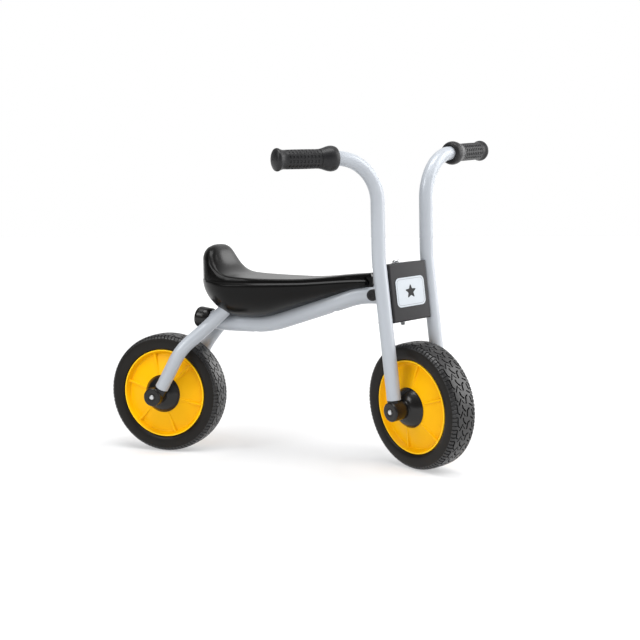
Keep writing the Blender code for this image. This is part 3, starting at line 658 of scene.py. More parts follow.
def build_fitting(wheel, side_name, body, axle, foot, direction, tube_foot):
    """The barrel round the axle, and its spigot with a collar under the tube's end."""
    bore, recess, edge = AXLE_R + GAP, FITTING_OUT - 0.0007, tube_foot - GAP
    barrel = rounded([(bore, FITTING_IN), (FITTING_R, FITTING_IN), (FITTING_R, FITTING_OUT),
                      (0.0070, FITTING_OUT), (0.0064, recess), (bore, recess)],
                     {1: 0.0010, 2: 0.0026, 3: 0.0003, 5: 0.0002}, 6)
    piece = finish_piece(f"{wheel}_fork_end_{side_name}", lathe(barrel, 64), "black_plastic", body,
                         [f"{wheel}_axle_fitting_{side_name}"], along_y(SIDES[side_name], axle), 40)
    collar_r, spigot_r = TUBE_R - 0.0002, 0.0088
    spigot = rounded([(0, 0.006), (collar_r, 0.006), (collar_r, edge), (spigot_r, edge), (spigot_r, 0.032),
                      (0, 0.032)], {2: 0.0004, 4: 0.001}, 4)
    apply_boolean(piece, tool_object(lathe(spigot, 48), place(foot, direction, (0, 1, 0))), "UNION")
    shade(piece, 40)


def turned(name, node, outline, radii, steps, sides, body, matrix):
    """A small steel part turned on a lathe."""
    finish_piece(name, lathe(rounded(outline, radii, steps), sides), "zinc_steel", body, [node], matrix, 40)


def build_axle(wheel, body, axle):
    turned(wheel + "_axle_rod", wheel + "_axle", rectangle(0, AXLE_R, -AXLE_TIP, AXLE_TIP),
           {1: 0.0016, 2: 0.0016}, 5, 40, body, along_y(1, axle))


def build_inner_parts(wheel, wheel_matrix, body, axle):
    """Bearings with a sunk shield, and the spacers that keep them and the fittings apart."""
    bore, high = AXLE_R + 2 * GAP, BEARING_IN + BEARING_W
    shield = high - 0.0004
    bearing = [(bore, BEARING_IN), (BEARING_R, BEARING_IN), (BEARING_R, high), (0.0098, high), (0.0095, shield),
               (0.0064, shield), (0.0061, high), (bore, high)]
    spacer = rectangle(AXLE_R + GAP, SPACER_R, high + GAP, FITTING_IN - GAP)
    for side_name, side in SIDES.items():
        turned(f"{wheel}_bearing_shielded_{side_name}", f"{wheel}_bearing_{side_name}", bearing,
               {0: 0.0004, 1: 0.0005, 2: 0.0005, 7: 0.0004}, 3, 48, wheel + "_wheel",
               along_y(side, wheel_matrix))
        turned(f"{wheel}_spacer_turned_{side_name}", f"{wheel}_axle_spacer_{side_name}", spacer, 0.0003, 3, 40,
               body, along_y(side, axle))
    middle = rectangle(AXLE_R + GAP, SPACER_R, GAP - BEARING_IN, BEARING_IN - GAP)
    turned(wheel + "_spacer_long", wheel + "_bearing_spacer", middle, 0.0003, 3, 40, body, along_y(1, axle))


FORK_OFFSET = (FORK.inverted() @ FRONT_CENTRE).x
FORK_TUBE_AHEAD, FORK_HALF_TRACK = 0.01726, 0.051
REAR_FOOT_AHEAD = 0.0040
MAIN_TUBE_R, HEAD_TUBE_R = 0.0159, 0.017
BESIDE_MAIN = MAIN_TUBE_R + TUBE_R + GAP
REAR_CORNERS = [(0.0500, FORK_HALF_TRACK, 0.1830), (0.0870, BESIDE_MAIN, 0.2185),
                (0.1275, BESIDE_MAIN, 0.2547)]
FRONT_AXLE_FRAME = FORK @ Matrix.Translation((FORK_OFFSET, 0, 0))

for side_name, side in SIDES.items():
    flip = Matrix.Diagonal((1, side, 1))
    origin = flip @ Vector((REAR_FOOT_AHEAD, FORK_HALF_TRACK, REAR_CENTRE.z))
    corners = [flip @ Vector(c) for c in REAR_CORNERS]
    direction = (corners[0] - origin).normalized()
    path = bent_path([origin + direction * REAR_TUBE_FOOT] + corners, [0.075, 0.06])
    finish_piece("rear_stay_" + side_name, tube(path, TUBE_R), "silver_paint", "frame",
                 ["rear_fork_tube_" + side_name])
    build_fitting("rear", side_name, "frame", REAR_WHEEL, origin, direction, REAR_TUBE_FOOT)
    foot = FORK @ (flip @ Vector((FORK_TUBE_AHEAD, FORK_HALF_TRACK, 0)))
    build_fitting("front", side_name, "fork", FRONT_AXLE_FRAME, foot, STEER_AXIS, FORK_TUBE_FOOT)
build_axle("rear", "frame", REAR_WHEEL)
build_axle("front", "fork", FRONT_AXLE_FRAME)
build_inner_parts("rear", REAR_WHEEL, "frame", REAR_WHEEL)
build_inner_parts("front", FRONT_WHEEL, "fork", FRONT_AXLE_FRAME)

# ---------------------------------------------------------------- fork tubes and grips
KINK = 0.2381
BAR_CORNER, BAR_TIP = (0.0387, FORK_HALF_TRACK, 0.3919), (0.0021, 0.2186, 0.3994)
GRIP_LENGTH, TIP_WALL = 0.103, 0.0045
PITTED_R = 0.0142                   # radius of the grip where the pits are
PIT_ROWS, PIT_COLUMNS, PIT_STEP, FIRST_PIT = 13, 9, 0.0057, 0.0352
PIT_HALF_LENGTH, PIT_HALF_WIDTH, PIT_SLOPE, PIT_DEPTH = 0.0011, 0.0017, 0.0004, 0.0008


def pit_marks(half):
    """Offsets across a pit, each with 1 on its floor and 0 at its edge."""
    return [(-half - PIT_SLOPE, 0), (-half, 1), (0, 1), (half, 1), (half + PIT_SLOPE, 0)]


def grip_mesh():
    """A moulded grip about local Z: bulb at its inner end, rows of small pits, flange and domed end."""
    bulb = smooth_curve([(0.0148, 0.0006), (0.0172, 0.0024), (0.0187, 0.0065), (0.0190, 0.0108),
                         (0.0180, 0.0165), (0.0159, 0.0230), (0.0147, 0.0278)], 5)
    groove = [(0.0146, 0.0283), (0.0139, 0.0287), (0.0138, 0.0295), (0.0145, 0.0299)]
    zone = [(FIRST_PIT + PIT_STEP * k + offset, pit)
            for k in range(PIT_COLUMNS) for offset, pit in pit_marks(PIT_HALF_LENGTH)]
    neck = smooth_curve([(0.0140, 0.0850), (0.0143, 0.0885), (0.0152, 0.0915), (0.0165, 0.0942),
                         (0.0169, 0.0962), (0.0163, 0.0984), (0.0142, 0.1003), (0.0100, 0.1019),
                         (0.0050, 0.1027)], 5)
    end = [(0.0011, 0.1029), (0.0009, 0.1027), (0.0009, 0.1005), (0, 0.1005)]
    bore, bottom = TUBE_R + GAP, GRIP_LENGTH - TIP_WALL + GAP
    hollow = [(0, bottom), (bore, bottom), (bore, 0.0022), (0.0124, 0.0020), (0.0130, 0.0004), (0.0140, 0.0001)]
    marks = []
    for base in circle_turns(PIT_ROWS):
        marks += [(base + d / PITTED_R, pit) for d, pit in pit_marks(PIT_HALF_WIDTH)]
        marks.append((base + math.pi / PIT_ROWS, 0))
    bm = bmesh.new()

    def ring(r, z, pitted=0):
        if r < 1e-7:
            return [bm.verts.new((0, 0, z))]
        radii = [(r - PIT_DEPTH * pitted * pit, a) for a, pit in marks]
        return [bm.verts.new((radius * math.cos(a), radius * math.sin(a), z)) for radius, a in radii]

    rings = [ring(r, z) for r, z in bulb + groove]
    rings += [ring(PITTED_R + 0.0002 * math.sin(math.pi * (z - 0.03) / 0.055), z, pit) for z, pit in zone]
    rings += [ring(r, z) for r, z in neck + end + hollow]
    for i, first in enumerate(rings):
        following = rings[(i + 1) % len(rings)]
        if len(first) > 1 or len(following) > 1:
            join_rings(bm, first, following)
    return bm


for side_name, side in SIDES.items():
    flip = Matrix.Diagonal((1, side, 1))
    foot = flip @ Vector((FORK_TUBE_AHEAD, FORK_HALF_TRACK, 0))
    corner, tip = flip @ Vector(BAR_CORNER), flip @ Vector(BAR_TIP)
    outward = (tip - corner).normalized()
    ends = [foot + Vector((0, 0, FORK_TUBE_FOOT)), foot + Vector((0, 0, KINK)), corner, tip - outward * TIP_WALL]
    path = bent_path(ends, [0.12, 0.069])
    finish_piece("fork_bar_" + side_name, tube(path, TUBE_R), "silver_paint", "fork",
                 ["fork_tube_" + side_name], FORK)
    finish_piece("grip_pitted_" + side_name, grip_mesh(), "grip_rubber", "fork", ["grip_" + side_name],
                 FORK @ place(tip - outward * GRIP_LENGTH, outward, (0, 0, 1)), 35)

# ---------------------------------------------------------------- head box
BOX_LOW, BOX_HIGH = 0.1361, 0.2281
BOX_FRONT, BOX_REAR, BOX_SIDE_REAR = 0.0256, -0.0140, 0.0138
BOX_HALF, SHEET = FORK_HALF_TRACK - TUBE_R - GAP, 0.003


def block(low, high):
    bm = bmesh.new()
    bmesh.ops.create_cube(bm, size=1)
    low, high = Vector(low), Vector(high)
    for vert in bm.verts:
        vert.co = Vector([(a + b) / 2 + (b - a) * c for a, b, c in zip(low, high, vert.co)])
    return bm


def rounded_plate(half_x, half_y, corner):
    """The outline of a plate in local XY with round corners."""
    steps = 8
    outline = []
    for x, y, start in ((1, 1, 0), (-1, 1, 1), (-1, -1, 2), (1, -1, 3)):
        for k in range(steps + 1):
            a = math.pi / 2 * (start + k / steps)
            outline.append((x * (half_x - corner) + corner * math.cos(a),
                            y * (half_y - corner) + corner * math.sin(a)))
    return outline


def prism(outlines, low, high):
    """A flat piece with the first outline outside and a second one as a hole, between two heights."""
    bm = bmesh.new()
    rows = [[[bm.verts.new((x, y, z)) for x, y in outline] for z in (low, high)] for outline in outlines]
    for bottom, top in rows:
        join_rings(bm, bottom, top)
    for level in (0, 1):
        if len(rows) == 1:
            bm.faces.new(rows[0][level])
        else:
            join_rings(bm, rows[0][level], rows[1][level])
    return bm


def build_head_box():
    """Folded sheet with a front, a top and a bottom, short sides, and open behind."""
    shell = block((BOX_REAR, -BOX_HALF, BOX_LOW), (BOX_FRONT, BOX_HALF, BOX_HIGH))
    front_edges = [e for e in shell.edges if all(v.co.x > 0 for v in e.verts)]
    bmesh.ops.bevel(shell, geom=front_edges, offset=0.0030, segments=5, affect="EDGES", profile=0.5)
    box = finish_piece("head_box_folded", shell, "dark_grey_paint", "fork", ["head_box"], FORK)
    behind, beside, inner, bottom = BOX_REAR - 0.01, BOX_HALF + 0.01, BOX_HALF - SHEET, BOX_FRONT - SHEET
    opening = [(behind, -beside), (BOX_SIDE_REAR, -beside), (BOX_SIDE_REAR, -inner), (bottom, -inner),
               (bottom, inner), (BOX_SIDE_REAR, inner), (BOX_SIDE_REAR, beside), (behind, beside)]
    apply_boolean(box, tool_object(prism([opening], BOX_LOW + SHEET, BOX_HIGH - SHEET), FORK))
    apply_boolean(box, tool_object(rod(AXLE_R + 2 * GAP, 0.1, 0.25), FORK))
    apply_modifier(box, "BEVEL", width=0.0005, segments=2, limit_method="ANGLE", angle_limit=math.radians(30))
    shade(box, 40)


HEAD_LOW_FACE = BOX_HIGH + 0.0010 + 2 * GAP         # under the kingpin's head, on its washer
THREAD_STEP, THREAD_DEPTH = 0.0012, 0.0005
NUT_R, NUT_H = 0.0075, 0.0065


def build_kingpin():
    """The washer, the bolt with a button head and a short thread below the box, and the nut."""
    low = BOX_HIGH + GAP
    turned("kingpin_washer_round", "kingpin_washer", rectangle(AXLE_R + GAP, 0.008, low, low + 0.0010),
           {1: 0.0002, 2: 0.0003}, 3, 48, "fork", FORK)
    tip, head = BOX_LOW - 0.0070, HEAD_LOW_FACE
    thread = []
    z = tip + THREAD_STEP
    while z < BOX_LOW - 0.0004:
        thread += [(AXLE_R, z), (AXLE_R - THREAD_DEPTH, z + THREAD_STEP / 2)]
        z += THREAD_STEP
    dome = smooth_curve([(0.0065, head + 0.0014), (0.0060, head + 0.0026), (0.0047, head + 0.0036),
                         (0.0030, head + 0.0040)], 5)
    pin = ([(0, tip), (AXLE_R - 0.0010, tip), (AXLE_R - 0.0002, tip + 0.0008)] + thread
           + [(AXLE_R, BOX_LOW), (AXLE_R, head), (0.0062, head), (0.0065, head + 0.0003)] + dome
           + [(0.0026, head + 0.0039), (0.0026, head + 0.0016), (0, head + 0.0012)])
    finish_piece("kingpin_bolt", lathe(pin, 48), "zinc_steel", "fork", ["kingpin"], FORK, 40)
    low = BOX_LOW + SHEET + GAP
    top = low + NUT_H
    nut = finish_piece("kingpin_nut_hex", lathe(rectangle(AXLE_R + GAP, NUT_R, low, top), 6), "zinc_steel",
                       "fork", ["kingpin_nut"], FORK, 30)
    wide, narrow, chamfer = NUT_R + 0.0001, 0.0064, 0.0007
    corners_off = [(0, low - 0.001), (narrow, low), (wide, low + chamfer), (wide, top - chamfer), (narrow, top),
                   (0, top + 0.001)]
    apply_boolean(nut, tool_object(lathe(corners_off, 60), FORK), "INTERSECT")


LABEL_HEIGHT = 0.182
LABEL = FORK @ axes_matrix((BOX_FRONT + GAP, 0, LABEL_HEIGHT), (0, 1, 0), (0, 0, 1), (1, 0, 0))
STAR_TIP, STAR_NOTCH = 0.0125, 0.0056


def build_label():
    """A plain pale label with a thin border and a five-pointed star."""
    star = []
    for k in range(10):
        radius = STAR_NOTCH if k % 2 else STAR_TIP
        star.append((radius * math.sin(math.pi * k / 5), radius * math.cos(math.pi * k / 5)))
    border = [rounded_plate(0.0276, 0.0206, 0.0062), rounded_plate(0.0270, 0.0200, 0.0056)]
    plate = [rounded_plate(0.0300, 0.0230, 0.008)]
    finish_piece("head_label_plate", prism(plate, 0, 0.0006), "label_film", "fork", ["head_label"], LABEL, 30)
    for part, outlines, high, material in (("border", border, 0.00068, "label_grey"),
                                           ("star", [rounded(star, 0.0012, 4)], 0.00070, "label_dark")):
        finish_piece("head_label_" + part, prism(outlines, 0.0003, high), "label_film", "fork", (), LABEL, 30,
                     material)


build_head_box()
build_kingpin()
build_label()

# ---------------------------------------------------------------- main tube, head tube, stops, cap
MAIN_CORNERS = [(0.0705, 0, 0.2330), (0.108, 0, 0.2275), (0.190, 0, 0.2262), (0.3497, 0, 0.2779)]
MAIN_END = (AXIS_FOOT.x - (0.2779 - AXIS_FOOT.z) * math.tan(HEAD_TILT), 0, 0.2779)
MAIN_BENDS = [0.30, 0.158, 0.118]
CAP_SLEEVE = 0.0145
MAIN_PATH = bent_path(MAIN_CORNERS + [MAIN_END], MAIN_BENDS)
STRAIGHT = Matrix.Translation(AXIS_FOOT) @ Matrix.Rotation(-HEAD_TILT, 4, "Y")
TO_HEAD = place(MAIN_END, (-math.sin(HEAD_TILT), 0, math.cos(HEAD_TILT)))
BUSH_FLANGE = 0.0025
HEAD_LOW = BOX_LOW + SHEET + NUT_H + BUSH_FLANGE + 3 * GAP
HEAD_HIGH = BOX_HIGH - SHEET - BUSH_FLANGE - 2 * GAP
SEAT_BOLT_X = {"rear": 0.168, "front": 0.300}


def main_tube_centre(x):
    """Height and slope of the main tube's centre line."""
    for a, b in zip(MAIN_PATH, MAIN_PATH[1:]):
        if a.x <= x <= b.x:
            return a.z + (b.z - a.z) * (x - a.x) / (b.x - a.x), math.atan2(b.z - a.z, b.x - a.x)
    return MAIN_PATH[0].z, 0.0


def across_main_tube(x):
    """A matrix on the tube's centre line whose Z points up, square to the tube."""
    height, slope = main_tube_centre(x)
    return place((x, 0, height), (-math.sin(slope), 0, math.cos(slope)))


def weld_bead(name, points, radius):
    """A painted weld: overlapping ripples laid along a closed path."""
    ripple, step, ripple_share = 0.0016, 0.00035, 0.18
    pts = [Vector(p) for p in points]
    samples = []
    for a, b in zip(pts, pts[1:] + pts[:1]):
        count = max(1, round((b - a).length / step))
        samples += [a + (b - a) * (k / count) for k in range(count)]
    bm = bmesh.new()
    rings = []
    for i, p in enumerate(samples):
        tangent = (samples[(i + 1) % len(samples)] - samples[i - 1]).normalized()
        side = tangent.cross(UP if abs(tangent.z) < 0.9 else Vector((1, 0, 0))).normalized()
        other = tangent.cross(side)
        swell = abs(math.sin(math.pi * i * step / ripple)) ** 0.6
        r = radius * (1 - ripple_share + ripple_share * swell)
        rings.append([bm.verts.new(p + (side * math.cos(t) + other * math.sin(t)) * r)
                      for t in circle_turns(10)])
    for i, first in enumerate(rings):
        join_rings(bm, first, rings[(i + 1) % len(rings)])
    finish_piece(name, bm, "silver_paint", "frame", (), FRAME, 50)


def build_main_tube():
    """The tube, cut round for the head tube, with an access hole below each seat bolt."""
    piece = finish_piece("main_tube_bent", tube(MAIN_PATH, MAIN_TUBE_R, 64), "silver_paint", "frame",
                         ["main_tube"])
    apply_boolean(piece, tool_object(rod(HEAD_TUBE_R + 0.0001, -0.05, 0.05, 96), TO_HEAD))
    for x in SEAT_BOLT_X.values():
        apply_boolean(piece, tool_object(rod(0.0065, -MAIN_TUBE_R - 0.006, 0.0121), across_main_tube(x)))
    shade(piece, 40)


def build_seat_bolts():
    """Button heads with a round recess, seen up the access holes under the tube."""
    low, top, tip = 0.0080, 0.0120, MAIN_TUBE_R + 0.012
    outline = [(0, low + 0.0023), (0.0017, low + 0.0023), (0.0017, low + 0.0001), (0.0036, low + 0.0001),
               (0.0049, low + 0.0010), (0.0055, low + 0.0024), (0.0055, top), (0.0030, top),
               (0.0030, tip - 0.0006), (0.0024, tip), (0, tip)]
    for end, x in SEAT_BOLT_X.items():
        finish_piece(f"seat_bolt_button_{end}", lathe(outline, 36), "zinc_steel", "frame", ["seat_bolt_" + end],
                     across_main_tube(x), 35)


def build_head_tube():
    """The head tube, a flanged bush in each end, and the weld that joins it to the main tube."""
    head = rounded(rectangle(0.0142, HEAD_TUBE_R, HEAD_LOW, HEAD_HIGH),
                   {0: 0.0004, 1: 0.0006, 2: 0.0006, 3: 0.0004}, 3)
    finish_piece("head_tube_round", lathe(head, 72), "silver_paint", "frame", ["head_tube"], STRAIGHT, 40)
    pin_r, flange_r, plug_r = AXLE_R + 2 * GAP, 0.0165, 0.0136
    for name, seat_at, sign in (("upper", HEAD_HIGH, 1), ("lower", HEAD_LOW, -1)):
        inner, outer = seat_at + sign * GAP, seat_at + sign * (GAP + BUSH_FLANGE)
        plug_end = seat_at - sign * 0.018
        bush = rounded([(pin_r, outer), (flange_r, outer), (flange_r, inner), (plug_r, inner),
                        (plug_r, plug_end), (pin_r, plug_end)], {1: 0.0006, 2: 0.0003}, 3)
        finish_piece(f"head_bush_{name}_turned", lathe(bush, 56), "white_nylon", "frame", ["head_bush_" + name],
                     STRAIGHT, 40)
    ring = []
    for t in circle_turns(72):
        y, up = MAIN_TUBE_R * math.cos(t), MAIN_TUBE_R * math.sin(t)
        ring.append(TO_HEAD @ Vector((-math.sqrt(HEAD_TUBE_R ** 2 - y * y) - 0.0004, y * 1.02, up * 1.02)))
    weld_bead("weld_head_tube", ring, 0.0017)


def build_stay_weld(side_name):
    """The weld round the place where a rear fork tube lies against the main tube."""
    side, widest_gap = SIDES[side_name], 0.0024
    low, high = [Vector((x, y * side, z)) for x, y, z in REAR_CORNERS[1:]]
    stay = (high - low).normalized()
    middle_x = (low + stay * ((main_tube_centre(0.100)[0] - low.z) / stay.z)).x
    height, slope = main_tube_centre(middle_x)
    main_up, stay_up = Vector((-math.sin(slope), 0, math.cos(slope))), Vector((-stay.z, 0, stay.x))
    ring = []
    for t in circle_turns(60):
        d = Vector((math.cos(t), 0, math.sin(t)))
        reach = 0.002
        while reach < 0.05:
            h_main, h_stay = (d * reach).dot(main_up), (d * reach).dot(stay_up)
            if abs(h_main) >= MAIN_TUBE_R or abs(h_stay) >= TUBE_R:
                break
            y_main = math.sqrt(MAIN_TUBE_R ** 2 - h_main ** 2)
            if BESIDE_MAIN - math.sqrt(TUBE_R ** 2 - h_stay ** 2) - y_main > widest_gap:
                break
            reach += 0.0003
        y_main = math.sqrt(max(0.0, MAIN_TUBE_R ** 2 - (d * reach).dot(main_up) ** 2))
        ring.append(Vector((middle_x, side * (y_main + 0.0011), height)) + d * reach)
    weld_bead("weld_stay_" + side_name, ring, 0.0016)


def build_rear_cap():
    """The domed cap: a plug in the main tube's rear end and a sleeve over it."""
    start = Vector(MAIN_CORNERS[0])
    plug_r, bore, sleeve_r = MAIN_TUBE_R - TUBE_WALL - 2 * GAP, MAIN_TUBE_R + GAP, 0.0178
    dome = smooth_curve([(0.0180, -0.0040), (0.0179, -0.0070), (0.0170, -0.0098), (0.0150, -0.0120),
                         (0.0112, -0.0138), (0.0060, -0.0148), (0.0, -0.0151)], 6)
    cap = [(0, 0.014), (plug_r - 0.0008, 0.014), (plug_r, 0.0128), (plug_r, -GAP), (bore, -GAP),
           (bore, CAP_SLEEVE - 0.0003), (bore + 0.0003, CAP_SLEEVE), (sleeve_r - 0.0004, CAP_SLEEVE),
           (sleeve_r, CAP_SLEEVE - 0.0005), (sleeve_r + 0.0001, 0.0020)] + dome
    finish_piece("rear_cap_domed", lathe(cap, 72), "black_plastic", "frame", ["rear_end_cap"],
                 place(start, Vector(MAIN_CORNERS[1]) - start, (0, 1, 0)), 40)


STOP_BEHIND, STOP_R, STEER_STOP = 0.038, 0.0092, math.radians(60)      # the last is the steering's limit


def build_stops():
    """Rubber buttons on the main tube, as wide apart as the fork tubes allow at full lock."""
    reach = math.hypot(FORK_TUBE_AHEAD, FORK_HALF_TRACK)
    face = reach * math.sin(math.atan2(FORK_HALF_TRACK, FORK_TUBE_AHEAD) + STEER_STOP) - TUBE_R - 2 * GAP
    dimple = face - 0.0012
    button = rounded([(0, 0.010), (STOP_R, 0.010), (STOP_R, face), (0.0040, face), (0.0036, dimple),
                      (0, dimple)], {2: 0.0024, 3: 0.0004}, 6)
    centre = Vector(MAIN_END) - Vector((STOP_BEHIND, 0, 0))
    for side_name, side in SIDES.items():
        stop = finish_piece("stop_button_" + side_name, lathe(button, 48), "grip_rubber", "frame",
                            ["steering_stop_" + side_name], along_y(side, Matrix.Translation(centre)), 40)
        saddle = rod(MAIN_TUBE_R + 0.0001, -0.04, 0.04, 96)
        apply_boolean(stop, tool_object(saddle, place(centre, (1, 0, 0), (0, 0, 1))))
        shade(stop, 40)


build_main_tube()
build_seat_bolts()
build_head_tube()
for side_name in SIDES:
    build_stay_weld(side_name)
build_rear_cap()
build_stops()

# ---------------------------------------------------------------- seat
SEAT_REAR, SEAT_NOSE, SEAT_MID, SEAT_HALF = 0.0770, 0.3670, 0.150, 0.070
NOSE_HALF, NOSE_ROUND, SEAT_WAIST_X = 0.0205, 0.009, 0.255
CANTLE_H, CANTLE_X, CANTLE_DEPTH, CRADLE = 0.0507, 0.093, 0.0272, 0.0070
SPINE_REAR, SPINE_NOSE = 0.142, SEAT_NOSE - 0.014
TONGUE = 0.0085                      # the top reaches this much further forward than the ledge
LEDGE_UP = 0.0004                    # the ledge lies this much above the crease line
RIM, ROUNDING = 0.0055, 0.0180       # width of the ledge, and of the zone where the edge is rounded
GROOVE_OUT = 0.0036                  # height above the ledge where the top leaves the groove
# a block of the seat's black plastic under the nose, filling the shaded recess between the nose and the head tube:
# painted shade
NOSE_SHADE_BLOCK_LOW, NOSE_SHADE_BLOCK_HIGH = (0.350, -0.0110, 0.2830), (0.3735, 0.0110, 0.3062)
# the rings of the seat: shares of the way out, then (inset, height above the ledge), then insets
BOWL_SHARES = (0.06, 0.16, 0.26, 0.36, 0.46, 0.56, 0.65, 0.73, 0.80, 0.86, 0.91, 0.945, 0.97, 0.987, 0.996)
RIM_STEPS = ((0.0, -0.0046), (0.0002, -0.0039), (0.0006, -0.0032), (0.0012, -0.0025), (0.0020, -0.0016),
             (0.0028, -0.0008), (0.0035, -0.0002), (0.0039, 0.0), (0.0042, -0.0002), (0.0045, -0.0007),
             (0.0048, -0.0011), (0.0051, -0.0009), (0.0053, 0.0001), (0.0054, 0.0018), (RIM, GROOVE_OUT))
SLAB_STEPS = (0.0056, 0.0058, 0.0061, 0.0065, 0.0071, 0.0079, 0.0090, 0.0104, 0.0124, ROUNDING)


def smooth_step(t):
    t = min(1.0, max(0.0, t))
    return t * t * (3 - 2 * t)


def seat_half_width(x):
    return NOSE_HALF + (SEAT_HALF - NOSE_HALF) * (1 - smooth_step((x - 0.170) / 0.202)) ** 0.92


def seat_outline():
    """The seat from above: a narrow rounded nose, a waist and a half ellipse at the back."""
    nose_x, nose_y = SEAT_NOSE - NOSE_ROUND, NOSE_HALF - NOSE_ROUND
    left = [(SEAT_NOSE, nose_y * i / 6) for i in range(6)]
    for i in range(10):
        t = math.pi / 2 * i / 10
        left.append((nose_x + NOSE_ROUND * math.cos(t), nose_y + NOSE_ROUND * math.sin(t)))
    for i in range(56):
        x = nose_x + (SEAT_MID - nose_x) * i / 56
        left.append((x, seat_half_width(x)))
    for i in range(48):
        t = math.pi / 2 * i / 48
        left.append((SEAT_MID - (SEAT_MID - SEAT_REAR) * math.sin(t), SEAT_HALF * math.cos(t)))
    return left + [(SEAT_REAR, 0.0)] + [(x, -y) for x, y in reversed(left[1:])]


def seat_crease(x):
    return 0.2970 + 0.0045 * smooth_step((x - 0.25) / 0.11) + 0.0035 * smooth_step((0.15 - x) / 0.06)


def ledge(x):
    """How far the ledge round the seat is formed: it fades out round the raised back."""
    return smooth_step((x - 0.092) / 0.045)


def tongue(x):
    return TONGUE * smooth_step((x - 0.325) / (SEAT_NOSE - RIM - 0.325))


def spread(x, inset):
    """The rim's rings lie close together where the ledge fades out, and the next ones take their place."""
    first = RIM * (0.12 + 0.88 * ledge(x))
    if inset <= RIM:
        return inset * first / RIM
    return first + (inset - RIM) * (ROUNDING - first) / (ROUNDING - RIM)


def seat_underside(x):
    height, slope = main_tube_centre(x)
    return height + MAIN_TUBE_R / math.cos(slope) - CRADLE


def cantle(x, y):
    """Height of the raised back: steep behind, concave in front, its near and far ends rounded off."""
    forward = (max(0.0, x - CANTLE_X) / CANTLE_DEPTH) ** 2 + 0.30 * (abs(y) / 0.050) ** 3
    across = max(0.0, 1 - (abs(y) / 0.0675) ** 5) ** 0.5
    return CANTLE_H / (1 + forward ** 2.1) * across


def seat_top(x, y, inset):
    dip = (x - SEAT_WAIST_X) / 0.105
    rise = 0.0062 + (0.0042 if dip > 0 else 0.0030) * min(1.0, dip * dip) + 0.97 * cantle(x, y)
    raised = smooth_step(cantle(x, y) / 0.03)
    into = 1 - min(1.0, max(0.0, inset) / (0.007 + 0.022 * raised))
    shoulder = (1 - into ** (3 - raised)) ** (1 / (3 + 2.5 * raised))
    return seat_crease(x) + rise * shoulder


def seat_bowl(x, share):
    """Height of the underside, at a share of the way from the spine to the outline."""
    brim = seat_crease(x) + (LEDGE_UP - 0.0048) * ledge(x)
    depth = brim - seat_underside(max(x, SPINE_REAR - 0.02))
    fullness = 2.1 - 0.5 * smooth_step((0.150 - x) / 0.05)
    return brim - depth * math.sqrt(max(0.0, 1 - share ** fullness))


def seat_slab(x, y, inset):
    """Height of the top, with a rounded edge where it rises from the groove."""
    turn = max(0.0, 1 - (inset - spread(x, RIM)) / 0.0040) * ledge(x)
    start = seat_crease(x) + (LEDGE_UP + GROOVE_OUT) * ledge(x)
    return start + (seat_top(x, y, inset) - start) * (1 - turn ** 3)


def seat_mesh():
    """Rings from the middle of the underside out to the ledge, over it and in to the middle of the top."""
    outline = seat_outline()
    middles = [min(SPINE_NOSE, max(SPINE_REAR, x)) for x, _ in outline]
    reaches = [math.hypot(x - m, y) for (x, y), m in zip(outline, middles)]
    bm = bmesh.new()

    def ring(share_of, height, on_top=True):
        """A ring whose points lie at a share of the way from the spine to the outline."""
        verts = []
        for (x, y), m, reach in zip(outline, middles, reaches):
            share = share_of(x, reach)
            px, py = m + (x - m) * share, y * share
            ahead = tongue(px) if on_top else 0
            verts.append(bm.verts.new((px + ahead, py, height(px, py, share, reach * (1 - share)))))
        return verts

    rings = []
    for s in BOWL_SHARES:
        rings.append(ring(lambda x, reach: s, lambda px, py, share, inset: seat_bowl(px, share), False))
    for inset, up in RIM_STEPS:
        rings.append(ring(lambda x, reach: 1 - spread(x, inset) / reach,
                          lambda px, py, share, _: seat_crease(px) + (LEDGE_UP + up) * ledge(px), False))
    for inset in SLAB_STEPS:
        rings.append(ring(lambda x, reach: 1 - spread(x, inset) / reach,
                          lambda px, py, share, depth: seat_slab(px, py, depth)))
    for k in range(1, 13):
        rings.append(ring(lambda x, reach: (1 - ROUNDING / reach) * (1 - k / 13),
                          lambda px, py, share, depth: seat_top(px, py, depth)))
    for a, b in zip(rings, rings[1:]):
        join_rings(bm, a, b)
    for ends in (rings[0], rings[-1]):
        count = len(ends)
        for i in range(count // 2):
            corners = [ends[i], ends[i + 1], ends[(count - 1 - i) % count], ends[(count - i) % count]]
            corners = list(dict.fromkeys(corners))
            if len(corners) > 2:
                bm.faces.new(corners)
    return bm


def build_seat():
    """The seat with a black block under its nose, cut out for the main tube and the rear fork tubes; the block
    fills the shaded recess there as painted shade.
    """
    seat = finish_piece("seat_moulded", seat_mesh(), "seat_plastic", "frame", ["seat"], FRAME, 50)
    # the black block under the nose stands in for the shaded recess there: painted shade
    apply_boolean(seat, tool_object(block(NOSE_SHADE_BLOCK_LOW, NOSE_SHADE_BLOCK_HIGH)), "UNION")
    cradle = tube(MAIN_PATH, MAIN_TUBE_R + 0.0002, 64, wall=MAIN_TUBE_R - 0.001, lip=0.0002, mouth=0.0002)
    apply_boolean(seat, tool_object(cradle))
    for side in SIDES.values():
        low, high = [Vector((x, y * side, z)) for x, y, z in REAR_CORNERS[1:]]
        socket = rod(TUBE_R + 0.0002, 0.010, (high - low).length + 0.001, 48)
        apply_boolean(seat, tool_object(socket, place(low, high - low, (0, 1, 0))))
    shade(seat, 50)


build_seat()

